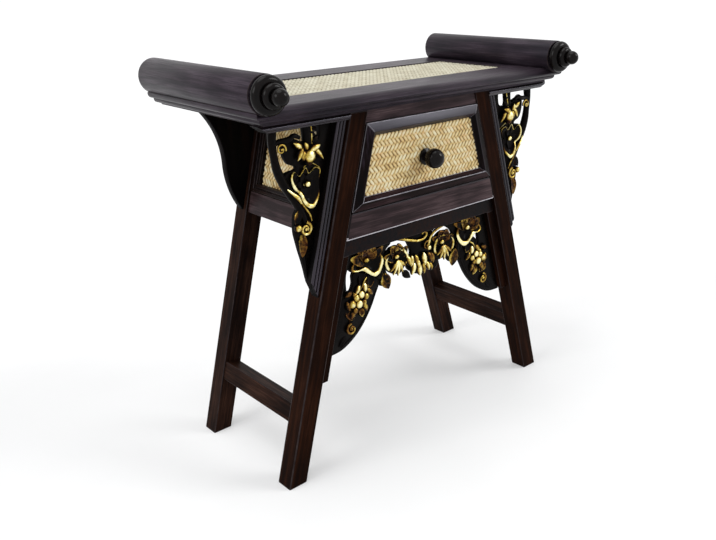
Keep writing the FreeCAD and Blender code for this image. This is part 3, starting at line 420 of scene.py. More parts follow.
ARRIS = 1.1 * MM
WIDE_ARRIS = 2.2 * MM
RAIL_ARRIS = 3.2 * MM
ARRIS_ANGLE = radians(35)
FLAT_ANGLE = radians(0.5)
WELD_REACH = 0.01 * MM


def dress(node, arris=ARRIS, edge=EDGE, hollow=False):
    """Wood and eased arrises; a solid's flat sides become single faces first, unless they have an opening."""
    piece = NODES[node]
    piece.data.materials.clear()
    piece.data.materials.append(wood_for(node))
    if SLOTS[node] == "frame_wood":
        piece.data.materials.append(edge)
        weld = piece.modifiers.new("weld", "WELD")
        weld.merge_threshold = WELD_REACH
        if not hollow:
            flatten = piece.modifiers.new("flatten", "DECIMATE")
            flatten.decimate_type = "DISSOLVE"
            flatten.angle_limit = FLAT_ANGLE
        bevel = piece.modifiers.new("arris", "BEVEL")
        bevel.width = arris
        bevel.segments = 2
        bevel.limit_method = "ANGLE"
        bevel.angle_limit = ARRIS_ANGLE
        # bevelled arrises take the edge material: pale for wear and painted highlight, or the painted shade
        # wood
        bevel.material = 1
        bevel.use_clamp_overlap = True


for node in NODES:
    if node.endswith("bead_frame"):
        dress(node, WIDE_ARRIS, hollow=True)
    # lower rail: a painted highlight on its bottom arris
    elif node == "front_lower_rail":
        dress(node, RAIL_ARRIS, BRIGHT_EDGE)
    # mouldings: a painted highlight on the upward side of each arris
    elif "moulding" in node:
        dress(node, WIDE_ARRIS, MOULDING_EDGE)
    elif node.endswith("leg"):
        dress(node, WIDE_ARRIS)
    # rear brackets: painted shade wood on their arrises too
    elif wood_for(node) == SHADED_WOOD:
        dress(node, ARRIS, SHADED_WOOD)
    else:
        dress(node)


# New pieces


def new_object(name, data):
    thing = bpy.data.objects.new(name, data)
    bpy.context.scene.collection.objects.link(thing)
    return thing


def new_piece(name, points, faces, material, node, crease):
    """Mesh that rides on a node's body and stands for it."""
    mesh = bpy.data.meshes.new(name)
    mesh.from_pydata(points, [], faces)
    mesh.materials.append(material)
    mesh.shade_smooth()
    mesh.set_sharp_from_angle(angle=radians(crease))
    mesh.update()
    piece = new_object(name, mesh)
    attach(piece, BODY_OF[node])
    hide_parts(node)
    return piece


def set_attribute(piece, name, values):
    attribute = piece.data.attributes.new(name, "FLOAT", "POINT")
    attribute.data.foreach_set("value", np.asarray(values, np.float32))


def tube_faces(rings, sides, start=0):
    """Faces of a closed tube of point rings, with its two ends."""
    faces = []
    for ring in range(rings - 1):
        for side in range(sides):
            following = (side + 1) % sides
            a = start + ring * sides
            faces.append((a + side, a + following, a + sides + following, a + sides + side))
    last = start + (rings - 1) * sides
    faces.append(tuple(start + side for side in reversed(range(sides))))
    faces.append(tuple(last + side for side in range(sides)))
    return faces


# Woven mats: two sets of slanting strands that pass over two and under two

STRAND = 7.6 * MM
STRAND_SLANT = radians(50)
STRAND_PLAY = 0.92
STRAND_WANDER = 0.04
STRAND_WIDTHS = (0.92, 1.04)
STRAND_TONES = (0.44, 0.74)
CROSSING = STRAND / sin(2 * STRAND_SLANT)
REPEAT = 4  # crossings after which the weave repeats
FIRST_PHASES = {1: 0.5, -1: -2.5}  # by the way a strand leans
FLOAT_STEPS = (-1.35, -1.05, -0.7, 0.0, 0.7, 1.05, 1.35, 2.0)
FLATNESS = 1.5
WEAVE_RISE = 0.6 * MM
CROWN = 0.55 * MM
PAINTED_DIP_SHADE = 0.34
MAT_THICKNESS = 3 * MM
MAT_MIDDLE = 1.5 * MM
# Points round a strand: share of its half width, share of its crown, and change of tone, which is painted
# shade at the edges and underneath and a painted highlight on the crown
STRAND_SECTION = (
    (-1, -0.45, -0.36), (-0.72, 0.45, -0.04), (0, 1, 0.16), (0.72, 0.45, -0.04), (1, -0.45, -0.36),
    (0, -0.6, -0.36),
)


def clip_line(outline, start, direction):
    """Where a line runs inside a convex outline, as distances along it."""
    low, high = -inf, inf
    for corner, following in zip(outline, np.roll(outline, -1, axis=0)):
        edge = following - corner
        inward = np.array((-edge[1], edge[0]))
        slope = inward @ direction
        reach = -(inward @ (start - corner)) / slope
        if slope > 0:
            low = max(low, reach)
        else:
            high = min(high, reach)
    return low, high


def strand_heights(places, phase):
    """Wave of a strand that goes over two and under two."""
    turn = (places / CROSSING - phase + REPEAT / 2) % REPEAT - REPEAT / 2
    return WEAVE_RISE * np.clip(FLATNESS * np.cos(2 * pi * turn / REPEAT), -1, 1)


def strand_places(low, high, phase):
    """Distances along a strand where its height changes, with its two ends."""
    first = (low / CROSSING - phase) // REPEAT - 1
    last = (high / CROSSING - phase) // REPEAT + 2
    turns = REPEAT * np.arange(first, last)
    steps = [CROSSING * (phase + turn + step) for turn in turns for step in FLOAT_STEPS]
    inside = [place for place in steps if low + 0.1 * STRAND < place < high - 0.1 * STRAND]
    return np.array([low, *inside, high])


def weave(node, material, outline, origin, across, up):
    """Mat in a convex outline, which is measured from the origin along two directions."""
    across, up = Vector(across), Vector(up)
    out = across.cross(up)
    points, faces, tones, strands = [], [], [], []
    reach = max(np.abs(outline).max(axis=0)) * 2
    count = ceil(reach / STRAND)
    for lean, first_phase in FIRST_PHASES.items():
        direction = np.array((cos(STRAND_SLANT), lean * sin(STRAND_SLANT)))
        spread = np.array((sin(STRAND_SLANT), -lean * cos(STRAND_SLANT)))
        for index in range(-count, count):
            start = spread * STRAND * (index + random.uniform(-STRAND_WANDER, STRAND_WANDER))
            low, high = clip_line(outline, start, direction)
            if high - low < STRAND:
                continue
            phase = index * (1 + cos(2 * STRAND_SLANT)) + first_phase
            places = strand_places(low, high, phase)
            heights = strand_heights(places, phase)
            half = STRAND * STRAND_PLAY / 2 * random.uniform(*STRAND_WIDTHS)
            tone = random.uniform(*STRAND_TONES)
            faces += tube_faces(len(places), len(STRAND_SECTION), len(points))
            for place, height in zip(places, heights):
                # painted shade where the strand dips under the others
                dip_shade = PAINTED_DIP_SHADE * (height / WEAVE_RISE - 1)
                for aside, lift, painted_light in STRAND_SECTION:
                    flat = start + direction * place + spread * half * aside
                    level = MAT_MIDDLE + height + CROWN * lift
                    points.append(origin + across * flat[0] + up * flat[1] + out * level)
                    strands.append((place, index * STRAND + half * aside + lean * reach))
                    tones.append(tone + painted_light + dip_shade)
    piece = new_piece(node.replace("mat", "strands"), points, faces, material, node, crease=80)
    set_attribute(piece, "tone", tones)
    layer = piece.data.uv_layers.new(name="strand")
    corners = np.zeros(len(piece.data.loops), np.int32)
    piece.data.loops.foreach_get("vertex_index", corners)
    layer.data.foreach_set("uv", np.array(strands, np.float32)[corners].ravel())


def tapered(half_height, half_foot, half_head):
    """Outline with a level foot and head."""
    return np.array([(-half_foot, -half_height), (half_foot, -half_height),
                     (half_head, half_height), (-half_head, half_height)])


def weave_top():
    low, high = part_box("top_woven_mat")
    middle = (low + high) / 2
    half = (high - low) / 2
    outline = tapered(half.y, half.x, half.x)
    weave("top_woven_mat", PAINTED_SHEEN_STRAW, outline, Vector((0, middle.y, low.z)), ALONG["x"], ALONG["y"])


def weave_drawer():
    low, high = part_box("drawer_woven_mat")
    middle = (low + high) / 2
    half_height = (high.z - low.z) / 2
    outline = tapered(half_height, high.x, high.x - 2 * half_height * tan(SPLAY))
    weave("drawer_woven_mat", STRAW, outline, Vector((0, high.y, middle.z)), ALONG["x"], ALONG["z"])


def weave_side(name, side):
    node = f"{name}_woven_mat"
    low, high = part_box(node)
    up = Vector(LEG_GRAIN[name])
    across = Vector((0, side, 0))
    half_width = (high.y - low.y) / 2
    half_height = (high.z - low.z - MAT_THICKNESS * sin(SPLAY)) / cos(SPLAY) / 2
    origin = (low + high) / 2 - across.cross(up) * MAT_THICKNESS / 2
    weave(node, STRAW, tapered(half_height, half_width, half_width), origin, across, up)


weave_top()
weave_drawer()
for name, side in SIDES.items():
    weave_side(name, side)


# Mouldings of the front brackets, in mm

FOOT_SPREAD = 383.0
STRIP_WIDTH = 22.0
STRIP_SLANT = 34.0
STRIP_STEPS = 67
BEAD_RADIUS = 3.4
BEAD_DEPTH = 3.4
BEAD_PLACES = (3.4, 11.0, 18.6)
TOP_STRIP_INSET = 18.0
TOP_STRIP_RECESS = 5.0
# Shares of the top strip's height, then of its recess
TOP_BEAD, TOP_BEAD_MIDDLE, TOP_HOLLOW = 0.25, 0.55, 0.25
HOLLOW_START = 0.4
HOLLOW_STEPS = (0.35, 0.7, 1.0)


def leg_face(z):
    """Distance from the middle to the legs' outer face at a height."""
    return FOOT_SPREAD - z * tan(SPLAY)


def strip_face(z):
    """Distance from the middle to the outer face of the strip beside a front leg."""
    return leg_face(z) + STRIP_WIDTH / cos(SPLAY)


def moulding(node, rings, side, material):
    """Straight moulding between two end rings of points, with its last side and its ends in a near-black wood
    as painted shade.
    """
    points = [(side * x * MM, y * MM, z * MM) for ring in rings for x, y, z in ring]
    faces = tube_faces(2, len(rings[0]))
    if side > 0:
        faces = [face[::-1] for face in faces]
    piece = new_piece(node.replace("strip", "moulding"), points, faces, material, node, crease=40)
    piece.data.materials.append(SHADED_WOOD)
    for shaded in piece.data.polygons[-3:]:
        shaded.material_index = 1


def leg_strip(name, side):
    """Strip with three beads and a groove between each two."""
    node = f"front_{name}_bracket_leg_strip"
    low, high = (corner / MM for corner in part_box(node))
    profile = [(STRIP_WIDTH, high.y), (0, high.y)]
    for place in np.linspace(0, STRIP_WIDTH, STRIP_STEPS):
        gap = min(abs(place - bead) for bead in BEAD_PLACES)
        sink = min(BEAD_DEPTH, BEAD_RADIUS - sqrt(max(BEAD_RADIUS ** 2 - gap ** 2, 0)))
        profile.append((place, low.y + sink))

    def ring(height):
        heights = [height(place) for place, _ in profile]
        return [(leg_face(z) + place / cos(SPLAY), y, z) for (place, y), z in zip(profile, heights)]

    foot = ring(lambda place: low.z + STRIP_SLANT * place / STRIP_WIDTH)
    moulding(node, [ring(lambda place: high.z), foot], side, BEAD_WOOD[name])


def top_strip(name, side):
    """Strip under the top: a recess, a bead and a hollow below it."""
    node = f"front_{name}_bracket_top_strip"
    low, high = (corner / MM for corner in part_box(node))
    height = high.z - low.z
    reach = max(abs(low.x), abs(high.x))
    bead = TOP_BEAD * height
    middle = low.z + TOP_BEAD_MIDDLE * height
    profile = [(high.y, low.z), (high.y, high.z), (low.y + TOP_STRIP_RECESS, high.z)]
    for turn in np.radians(np.linspace(90, -60, 11)):
        profile.append((low.y + bead * (1 - cos(turn)), middle + bead * sin(turn)))
    for share in HOLLOW_STEPS:
        depth = TOP_STRIP_RECESS * (HOLLOW_START + (1 - HOLLOW_START) * share)
        profile.append((low.y + depth, low.z + TOP_HOLLOW * height * (1 - share) ** 2))
    inner = [(leg_face(z), y, z) for y, z in profile]
    outer = [(reach - TOP_STRIP_INSET * (high.z - z) / height, y, z) for y, z in profile]
    moulding(node, [inner, outer], side, BEAD_WOOD["x"])


for name, side in SIDES.items():
    leg_strip(name, side)
    top_strip(name, side)


# Carving: closed shells of rings, in mm, as (outward, forward, up) from a carving's back

FORWARD = np.array((0.0, 1.0, 0.0))
BALL_SIDES, BALL_ROWS, BALL_END = 14, 9, 0.06
LOBE_SIDES, LOBE_ROWS = 16, 12
PETAL_SIDES, PETAL_ROWS, PETAL_THICKNESS = 9, 12, 2.4
SCROLL_STEPS = 26
EASE = 2.0
# From a flower's heart to its rim and back behind it: share of the way to the rim, widths of the lip
# back from there, share of the rim's height, and share of its gilding
BOWL_SECTION = (
    (0.08, 0, 0, 0.1), (0.3, 0, 0.06, 0.05), (0.52, 0, 0.3, 0), (0.72, 0, 0.62, 0.05),
    (1, 1.1, 0.88, 0.25), (1, 0.75, 1.03, 1), (1, 0.3, 1.05, 1), (1, 0, 0.93, 0.9),
    (1, 0.1, 0.72, 0.35), (1, 0.9, 0.5, 0), (0.7, 0, 0.1, 0), (0.5, 0, -0.3, 0), (0.08, 0, -0.3, 0),
)


def spline(known, steps, closed=False):
    """Smooth curve through rows of numbers."""
    known = np.asarray(known, float)
    if closed:
        padded = np.vstack([known[-1], known, known[:2]])
    else:
        padded = np.vstack([2 * known[0] - known[1], known, 2 * known[-1] - known[-2]])
    rows = []
    for a, b, c, e in zip(padded, padded[1:], padded[2:], padded[3:]):
        for t in np.linspace(0, 1, steps, endpoint=False):
            rows.append(0.5 * (2 * b + (c - a) * t + (2 * a - 5 * b + 4 * c - e) * t ** 2
                               + (3 * b - a - 3 * c + e) * t ** 3))
    if not closed:
        rows.append(known[-1])
    return np.array(rows)


def unit(rows):
    return rows / np.linalg.norm(rows, axis=1)[:, None]


def around(sides):
    """Cosines and sines of equal steps round a circle."""
    turn = np.linspace(0, 2 * pi, sides, endpoint=False)
    return np.cos(turn), np.sin(turn)


def bearing(angle):
    """Directions along and across a motif that lies at an angle in degrees."""
    x, z = cos(radians(angle)), sin(radians(angle))
    return np.array((x, 0, z)), np.array((-z, 0, x))


class Relief:
    """Shells gathered into one mesh, with a share of gilding at each point, which also carries painted
    highlight and shade.
    """

    def __init__(self):
        self.points, self.faces, self.gilt = [], [], []

    def shell(self, rings, gilt):
        """Closed tube of rings of points; the gilding is one value, or a row for all rings or for each."""
        rings = np.asarray(rings, float)
        count, sides = rings.shape[:2]
        self.faces += tube_faces(count, sides, len(self.points))
        self.points += list(rings.reshape(-1, 3))
        self.gilt += list(np.broadcast_to(gilt, (count, sides)).ravel())

    def tube(self, route, gilt=0.0, sides=12, smooth=6):
        """Round stem through rows of (outward, forward, up, radius), gilded in front."""
        route = np.asarray(route, float)
        if smooth:
            route = spline(route, smooth)
        path, radii = route[:, None, :3], route[:, None, 3:]
        ahead = unit(np.gradient(route[:, :3], axis=0))
        sideways = unit(np.cross(ahead, FORWARD))
        upward = np.cross(sideways, ahead)
        cosine, sine = around(sides)
        ring = cosine[:, None] * sideways[:, None] + sine[:, None] * upward[:, None]
        self.shell(path + ring * radii, gilt * np.clip(sine, 0, 1) ** 1.2)

    def ball(self, place, radius, gilt, stretch=(1, 1, 1)):
        """Berry or seed, gilded on its crown, which is partly worn gilding and partly painted highlight, with
        painted shade at its sides.
        """
        tilt = np.linspace(BALL_END, pi - BALL_END, BALL_ROWS)[:, None]
        cosine, sine = around(BALL_SIDES)
        girth, level = np.sin(tilt), np.cos(tilt)
        rings = np.stack([girth * cosine, level * np.ones(BALL_SIDES), girth * sine], axis=2)
        # gilding on the crown, fading to black at the sides: worn gilding with painted highlight and shade
        crown = np.clip(1.35 * level - 0.1, 0.0, 1.0) ** 1.3
        self.shell(np.asarray(place) + radius * rings * np.asarray(stretch), gilt * crown)

    def lobe(self, place, angle, length, width, lift, thick, gilt, point=0.8, rib=0.0):
        """Petal or leaf that lies on the carving, gilded on its crown, or on its margins if it has a rib; the
        narrow crown is partly painted highlight, its dark sides painted shade.
        """
        along, beside = bearing(angle)
        cosine, sine = around(LOBE_SIDES)
        crease = rib * np.exp(-(cosine / 0.25) ** 2)
        rings = []
        for share in np.linspace(0.02, 0.98, LOBE_ROWS):
            half = width / 2 * sin(pi * share ** point) ** 0.75
            rise = sin(pi * share) ** 0.8
            height = thick * (0.35 + 0.65 * rise) * sine
            height = np.where(sine > 0, height - crease * rise, 0.4 * height)
            centre = np.asarray(place) + along * length * share + lift * FORWARD
            rings.append(centre + cosine[:, None] * beside * half + height[:, None] * FORWARD)
        rim = 0.3 + 0.7 * np.abs(cosine) ** 3 if rib else np.clip(sine, 0.1, 1) ** 2.6
        self.shell(rings, gilt * np.where(sine > -0.1, rim, 0))

    def petal(self, place, angle, length, width, rise, hollow, gilt, tint):
        """Cupped petal that climbs from a place, tinted with gold and with a raised gilded rim."""
        along, beside = bearing(angle)
        across = np.linspace(-1, 1, PETAL_SIDES)
        margin = np.abs(across)
        rings, shares = [], []
        for share in np.linspace(0, 1, PETAL_ROWS):
            half = width / 2 * sin(pi * (0.08 + 0.84 * share ** 0.8)) ** 0.7
            climb = rise * sin(0.6 * pi * share) - 0.35 * rise * share ** 6
            cup = hollow * sin(pi * min(0.15 + share, 0.92))
            front = np.array(place) + along * length * share * (1 - 0.08 * margin[:, None] ** 2)
            front = front + across[:, None] * beside * half
            front[:, 1] += climb + cup * margin ** 2.5
            behind = front - PETAL_THICKNESS * FORWARD
            rings.append(np.vstack([front, behind[::-1]]))
            rim = np.maximum(margin ** 4 * share, min(max((share - 0.74) / 0.2, 0), 1))
            shares.append(np.concatenate([tint + (gilt - tint) * rim, np.zeros(PETAL_SIDES)]))
        self.shell(rings, shares)

    def bowl(self, rim, heart, seed=6.5):
        """Open flower: a dark bowl inside a rolled rim of (outward, forward, up, gilt, lip width) points."""
        rim = spline(rim, 5, closed=True)
        heart = np.asarray(heart, float)
        spread = rim[:, (0, 2)] - heart[::2]
        distance = np.linalg.norm(spread, axis=1)
        rise, gilt, lip = rim[:, 1] - heart[1], rim[:, 3], rim[:, 4]
        rings, shares = [], []
        for way, back, height, share in BOWL_SECTION:
            reach = way * distance - back * lip
            flat = heart[::2] + spread * (reach / distance)[:, None]
            rings.append(np.stack([flat[:, 0], heart[1] + height * rise, flat[:, 1]], axis=1))
            shares.append(share * gilt)
        self.shell(rings, shares)
        self.ball(heart + 0.5 * seed * FORWARD, seed, 0.95, (1.1, 0.8, 0.9))

    def scroll(self, place, radius, thickness, first, turns, gilt, hand):
        """Flat spiral that tapers towards its eye, which is a small ball."""
        share = np.linspace(0, 1, SCROLL_STEPS)
        angle = radians(first) + hand * 2 * pi * turns * share
        reach = radius * (1 - 0.72 * share)
        coil = np.stack([reach * np.cos(angle), 2.5 * share, reach * np.sin(angle)], axis=1)
        self.tube(np.column_stack([np.asarray(place) + coil, thickness * (1 - 0.5 * share)]), gilt, smooth=0)
        self.ball(np.asarray(place) + 1.5 * FORWARD, 0.3 * radius, gilt)

    def plate(self, outline, thickness):
        """Board behind the motifs: a smooth edge through (outward, up) points, closed by a straight one."""
        outline = spline(outline, 4)
        before = unit(outline - np.roll(outline, 1, axis=0))
        after = unit(np.roll(outline, -1, axis=0) - outline)
        ahead, up = (before + after).T
        normal = unit(np.stack([-up, ahead], axis=1))
        x, z = outline.T
        if np.sum(x * np.roll(z, -1) - np.roll(x, -1) * z) < 0:
            normal = -normal
        rings = []
        for inset, drop in ((0, thickness), (0, EASE), (0.3 * EASE, 0.3 * EASE), (EASE, 0)):
            x, z = (outline + normal * inset).T
            rings.append(np.stack([x, np.full(len(x), thickness - drop), z], axis=1))
        self.shell(rings, 0.0)

    def piece(self, name, node, side, back):
        """Make the mesh, mirrored to a side, with its back at a depth in metres."""
        points = np.asarray(self.points) * MM
        placed = np.stack([side * points[:, 0], back - points[:, 1], points[:, 2]], axis=1)
        piece = new_piece(name, placed.tolist(), self.faces, GILT, node, crease=60)
        mesh = bmesh.new()
        mesh.from_mesh(piece.data)
        bmesh.ops.recalc_face_normals(mesh, faces=mesh.faces)
        mesh.to_mesh(piece.data)
        mesh.free()
        set_attribute(piece, "gilt", self.gilt)


# Carving of the front brackets

STRIP_LAP = 1
BRACKET_FOOT = 415
BRACKET_EDGE = (
    (243, 690), (247, 678), (262, 674), (284, 678), (300, 685), (318, 687), (325, 677), (323, 657),
    (315, 642), (301, 635), (301, 629), (319, 626), (330, 613), (320, 596), (306, 574), (301, 560),
    (308, 548), (311, 535), (312, 515), (309, 497), (305, 478), (300, 458), (296, 440), (293.5, 426),
)
# Sepals of the drooping bud: place, lean, length, width, gilding
SEPALS = (
    ((287, 13, 667), 32, 23, 13, 0.95), ((286, 13, 668), -58, 26, 13, 0.85),
    ((279, 16, 664), 68, 15, 12, 0.9), ((273, 16, 661), 160, 24, 15, 1),
    ((263, 13, 666), -128, 32, 11, 1), ((268, 12, 672), 140, 22, 11, 0.25),
)
# Rims of the flower and of the one behind it: place, gilding, width of the lip
BACK_RIM = (
    (284, 9, 629, 0.8, 2), (272, 12, 638, 1, 2), (258, 11, 633, 1, 2), (246, 9, 622, 0.6, 2),
    (247, 8, 606, 0.2, 2), (262, 8, 598, 0.2, 2), (282, 9, 608, 0.2, 2),
)
FRONT_RIM = (
    (308, 15, 628, 1, 2.2), (295, 12, 618, 0.9, 1.8), (283, 15, 632, 1, 2), (274, 12, 620, 0.9, 1.8),
    (262, 15, 629, 1, 2), (250, 14, 623, 0.7, 2), (252, 13, 610, 0.3, 2), (254, 13, 600, 0.15, 2),
    (255, 14, 588, 0.15, 2.2), (257, 16, 577, 0.5, 3.5), (264, 19, 565, 0.95, 5.5),
    (276, 21, 556, 1, 7.5), (289, 20, 562, 1, 9), (297, 18, 576, 1, 8), (300, 14, 587, 0.9, 5),
    (308, 16, 593, 1, 6.5), (314, 18, 603, 1, 6.5), (316, 17, 617, 1, 4),
)
# Petals inside the flower: lean, length, width, gilding
HEART_PETALS = ((120, 24, 15, 0.22), (70, 24, 15, 0.2), (-88, 30, 22, 0.16), (15, 20, 14, 0.2))


def bracket_stems(relief, top):
    """Outer stem with a scroll, a branch, a twig, and the bud's stalk with a gilded line on it."""
    relief.tube([(342, 7, top, 8.5), (344, 7, 682, 7.5), (342, 7, 658, 7), (338, 7, 635, 8),
                 (329, 7, 612, 8.5), (316, 7, 590, 8.5), (302, 8, 566, 8), (290, 8, 540, 7),
                 (284, 7, 512, 5)], sides=14)
    relief.scroll((331, 14, 671), 10, 2.2, 200, 1.2, 0.8, -1)
    relief.tube([(344, 9, 681, 5), (330, 10, 684, 5), (314, 13, 686, 5), (302, 14, 691, 4.5),
                 (291, 14, 686, 3.5)])
    relief.tube([(270, 12, 695, 3.5), (260, 13, 688, 3.2), (254, 13, 677, 2.6)])
    relief.tube([(272, 6, top, 9.5), (272, 7, 690, 9), (272, 9, 672, 9)])
    relief.tube([(264, 12, top, 1.5), (265, 14, 690, 1.6), (267, 16, 672, 1.3)], 0.9)


def bracket_bud(relief):
    for place, lean, length, width, gilt in SEPALS:
        relief.lobe(place, lean, length, width, 2, 5.5, gilt)
    relief.ball((273, 14, 651), 13, 1.0, (1.0, 0.75, 1.05))
    relief.ball((285, 12, 653), 9, 0.62, (0.9, 0.8, 1.2))
    relief.ball((274, 12, 638), 8, 0.4, (1.1, 0.8, 0.7))


def bracket_flower(relief):
    relief.bowl(BACK_RIM, (266, 3, 616), 3)
    relief.bowl(FRONT_RIM, (283, 6, 599), 3)
    for lean, length, width, gilt in HEART_PETALS:
        relief.petal((283, 7, 599), lean, length, width, 6, 1.5, gilt, 0.04)
    relief.ball((279, 12, 600), 6, 1.0, (1.1, 0.9, 1.0))


def bracket_foot(relief):
    """Gilded tendrils below the flower, two leaves, a volute with a berry, and a last leaf."""
    relief.tube([(324, 14, 599, 1.4), (313, 16, 588, 3.2), (305, 17, 580, 4.4), (298, 16, 569, 2.4)], 1.0)
    relief.tube([(299, 15, 572, 2.4), (288, 16, 555, 2.2), (280, 15, 543, 2.0), (276, 13, 531, 1.4)], 0.8)
    relief.lobe((297, 9, 557), -62, 30, 16, 3, 4.5, 0.45, point=0.9, rib=2)
    relief.lobe((300, 9, 566), -140, 22, 13, 3, 4, 0.2, point=0.9, rib=2)
    relief.scroll((291, 13, 518), 13, 4.0, 100, 1.35, 0.9, 1)
    relief.ball((307, 13, 523), 7.5, 1.0)
    relief.petal((297, 9, 507), -86, 42, 18, 4, 2, 0.6, 0.42)


def bracket_carving(name, side):
    """Pierced bracket: an outer stem, a drooping bud, an open flower, leaves and a volute."""
    node = f"front_{name}_bracket_carving"
    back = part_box(node)[1].y
    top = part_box(f"front_{name}_bracket_top_strip")[0].z / MM
    relief = Relief()
    relief.plate([(strip_face(top) - STRIP_LAP, top), (240, top), *BRACKET_EDGE,
                  (strip_face(BRACKET_FOOT) - STRIP_LAP, BRACKET_FOOT)], 9)
    bracket_stems(relief, top)
    bracket_bud(relief)
    bracket_flower(relief)
    bracket_foot(relief)
    relief.piece(node.replace("carving", "relief"), node, side, back)


# Carving of the apron

APRON_EDGE = 320.8
LIMB_FOOT = 240.0
# Rims of the two flowers on each side: place, gilding, width of the lip
OUTER_RIM = (
    (188, 13, 406, 0.7, 5), (177, 15, 402, 1, 7), (164, 17, 402, 1.2, 8), (152, 18, 394, 1.2, 9),
    (141, 19, 386, 1.2, 10), (131, 19, 382, 1.2, 10), (120, 18, 386, 1.2, 9), (112, 16, 396, 1.2, 8),
    (107, 15, 408, 1.2, 7), (110, 13, 421, 0.6, 4), (121, 11, 430, 0.3, 4), (137, 10, 434, 0.3, 4),
    (155, 10, 433, 0.3, 4), (173, 11, 426, 0.4, 4), (186, 12, 416, 0.6, 5),
)
INNER_RIM = (
    (101, 13, 397, 1, 6), (96, 14, 384, 1.1, 6), (84, 12, 378, 0.3, 3), (66, 11, 376, 0.2, 3),
    (48, 12, 381, 0.4, 3), (38, 14, 389, 1, 6), (38, 14, 402, 1, 6), (45, 13, 414, 1, 5.5),
    (58, 12, 422, 0.9, 5), (73, 12, 422, 0.7, 5), (88, 12, 415, 0.75, 5), (98, 12, 406, 0.95, 5.5),
)
# Their petals: lean, length, width, gilding, tint
OUTER_PETALS = (
    (17, 42, 26, 0.75, 0.3), (50, 36, 20, 0.5, 0.34), (82, 28, 30, 0.65, 0.4), (124, 35, 30, 0.6, 0.42),
    (157, 48, 18, 0.7, 0.1),
)
INNER_PETALS = (
    (12, 36, 22, 0.7, 0.08), (58, 31, 26, 0.55, 0.34), (104, 29, 28, 0.55, 0.3), (152, 34, 20, 0.6, 0.08),
)
FLOWERS = (((147, 4, 418), OUTER_PETALS, OUTER_RIM), ((66, 4, 404), INNER_PETALS, INNER_RIM))
# Fan below the inner flower: lean, length, width, gilding
FAN_PETALS = (
    (-40, 32, 11, 0.85), (-137, 28, 11, 0.8), (-63, 34, 11.5, 1.2), (-111, 32, 11.5, 1.1),
    (-87, 35, 12, 1.2),
)
# Leaves and berries on the limb: outward, up, then lean, length, width or radius, and gilding
SPRAY = (
    (170, 372, -55, 22, 15, 0.95), (158, 374, -92, 22, 16, 1.3), (152, 360, -130, 22, 15, 0.6),
    (190, 364, -20, 20, 15, 0.55), (186, 360, -110, 20, 15, 0.7), (204, 346, -105, 24, 15, 0.6),
    (186, 324, -60, 22, 16, 0.7), (162, 332, -112, 22, 15, 0.65),
)
BERRIES = (
    (169, 352, 8.5, 1.2), (157, 345, 7.5, 0.8), (182, 348, 8, 1), (176, 334, 9.5, 1.3),
    (193, 338, 9, 1), (163, 334, 7, 0.7), (186, 322, 7, 0.6),
)
# Buds in the middle: place to the right, up, lean, length, width, gilding
BUDS = (
    (-40, 400, -72, 26, 15, 1), (-28, 399, -98, 26, 15, 1.2), (-18, 398, -80, 24, 14, 0.8),
    (-21, 382, -106, 29, 17, 1.2), (-12, 386, -84, 26, 15, 0.9), (-10, 377, -80, 31, 18, 1.2),
    (3, 374, -82, 26, 14, 0.75), (6, 397, -85, 33, 18, 1.2), (13, 375, -68, 24, 15, 1),
    (19, 394, -66, 27, 15, 0.65), (29, 391, -80, 26, 15, 0.6), (23, 370, -72, 20, 13, 0.65),
)
# Outlines of the boards behind, as (outward, up), the first two by side
POSTS = {-1: ((186, 425), (197, 404), (200, 384), (200, 366), (207, 352)),
         1: ((178, 425), (181, 404), (183, 388), (185, 374), (182, 358))}
LIMB_TOPS = {-1: ((207, 354), (198, 364), (190, 364), (184, 378), (184, 394), (176, 400), (150, 392)),
             1: ((190, 352), (178, 358), (171, 372), (161, 386), (154, 398), (146, 396))}
LIMB_ARCH = (
    (130, 384), (117, 372), (117, 356), (125, 340), (139, 313), (158, 287), (180, 265), (205, 249),
    (225, 242),
)
OUTER_BOARD = ((103, 425), (108, 402), (118, 390), (135, 382), (160, 392), (186, 402), (193, 420))
LINK_BOARD = (
    (80, 436), (92, 427), (101, 412), (99, 394), (91, 372), (84, 362), (92, 351), (104, 349), (118, 358),
    (118, 385), (106, 405),
)
INNER_BOARD = (
    (98, 415), (97, 395), (90, 378), (76, 368), (63, 364), (50, 366), (37, 384), (30, 396), (35, 408),
    (48, 420), (64, 428), (82, 427),
)
MIDDLE_BOARD = (
    (-36, 430), (-25, 404), (-30, 388), (-36, 372), (-26, 360), (-8, 350), (8, 354), (20, 361), (33, 371),
    (39, 384), (35, 396), (27, 406), (28, 425), (40, 436),
)


def apron_edge(z):
    """Distance from the middle to the strip beside the apron, with a little behind the strip."""
    return APRON_EDGE - z * tan(SPLAY) + STRIP_LAP


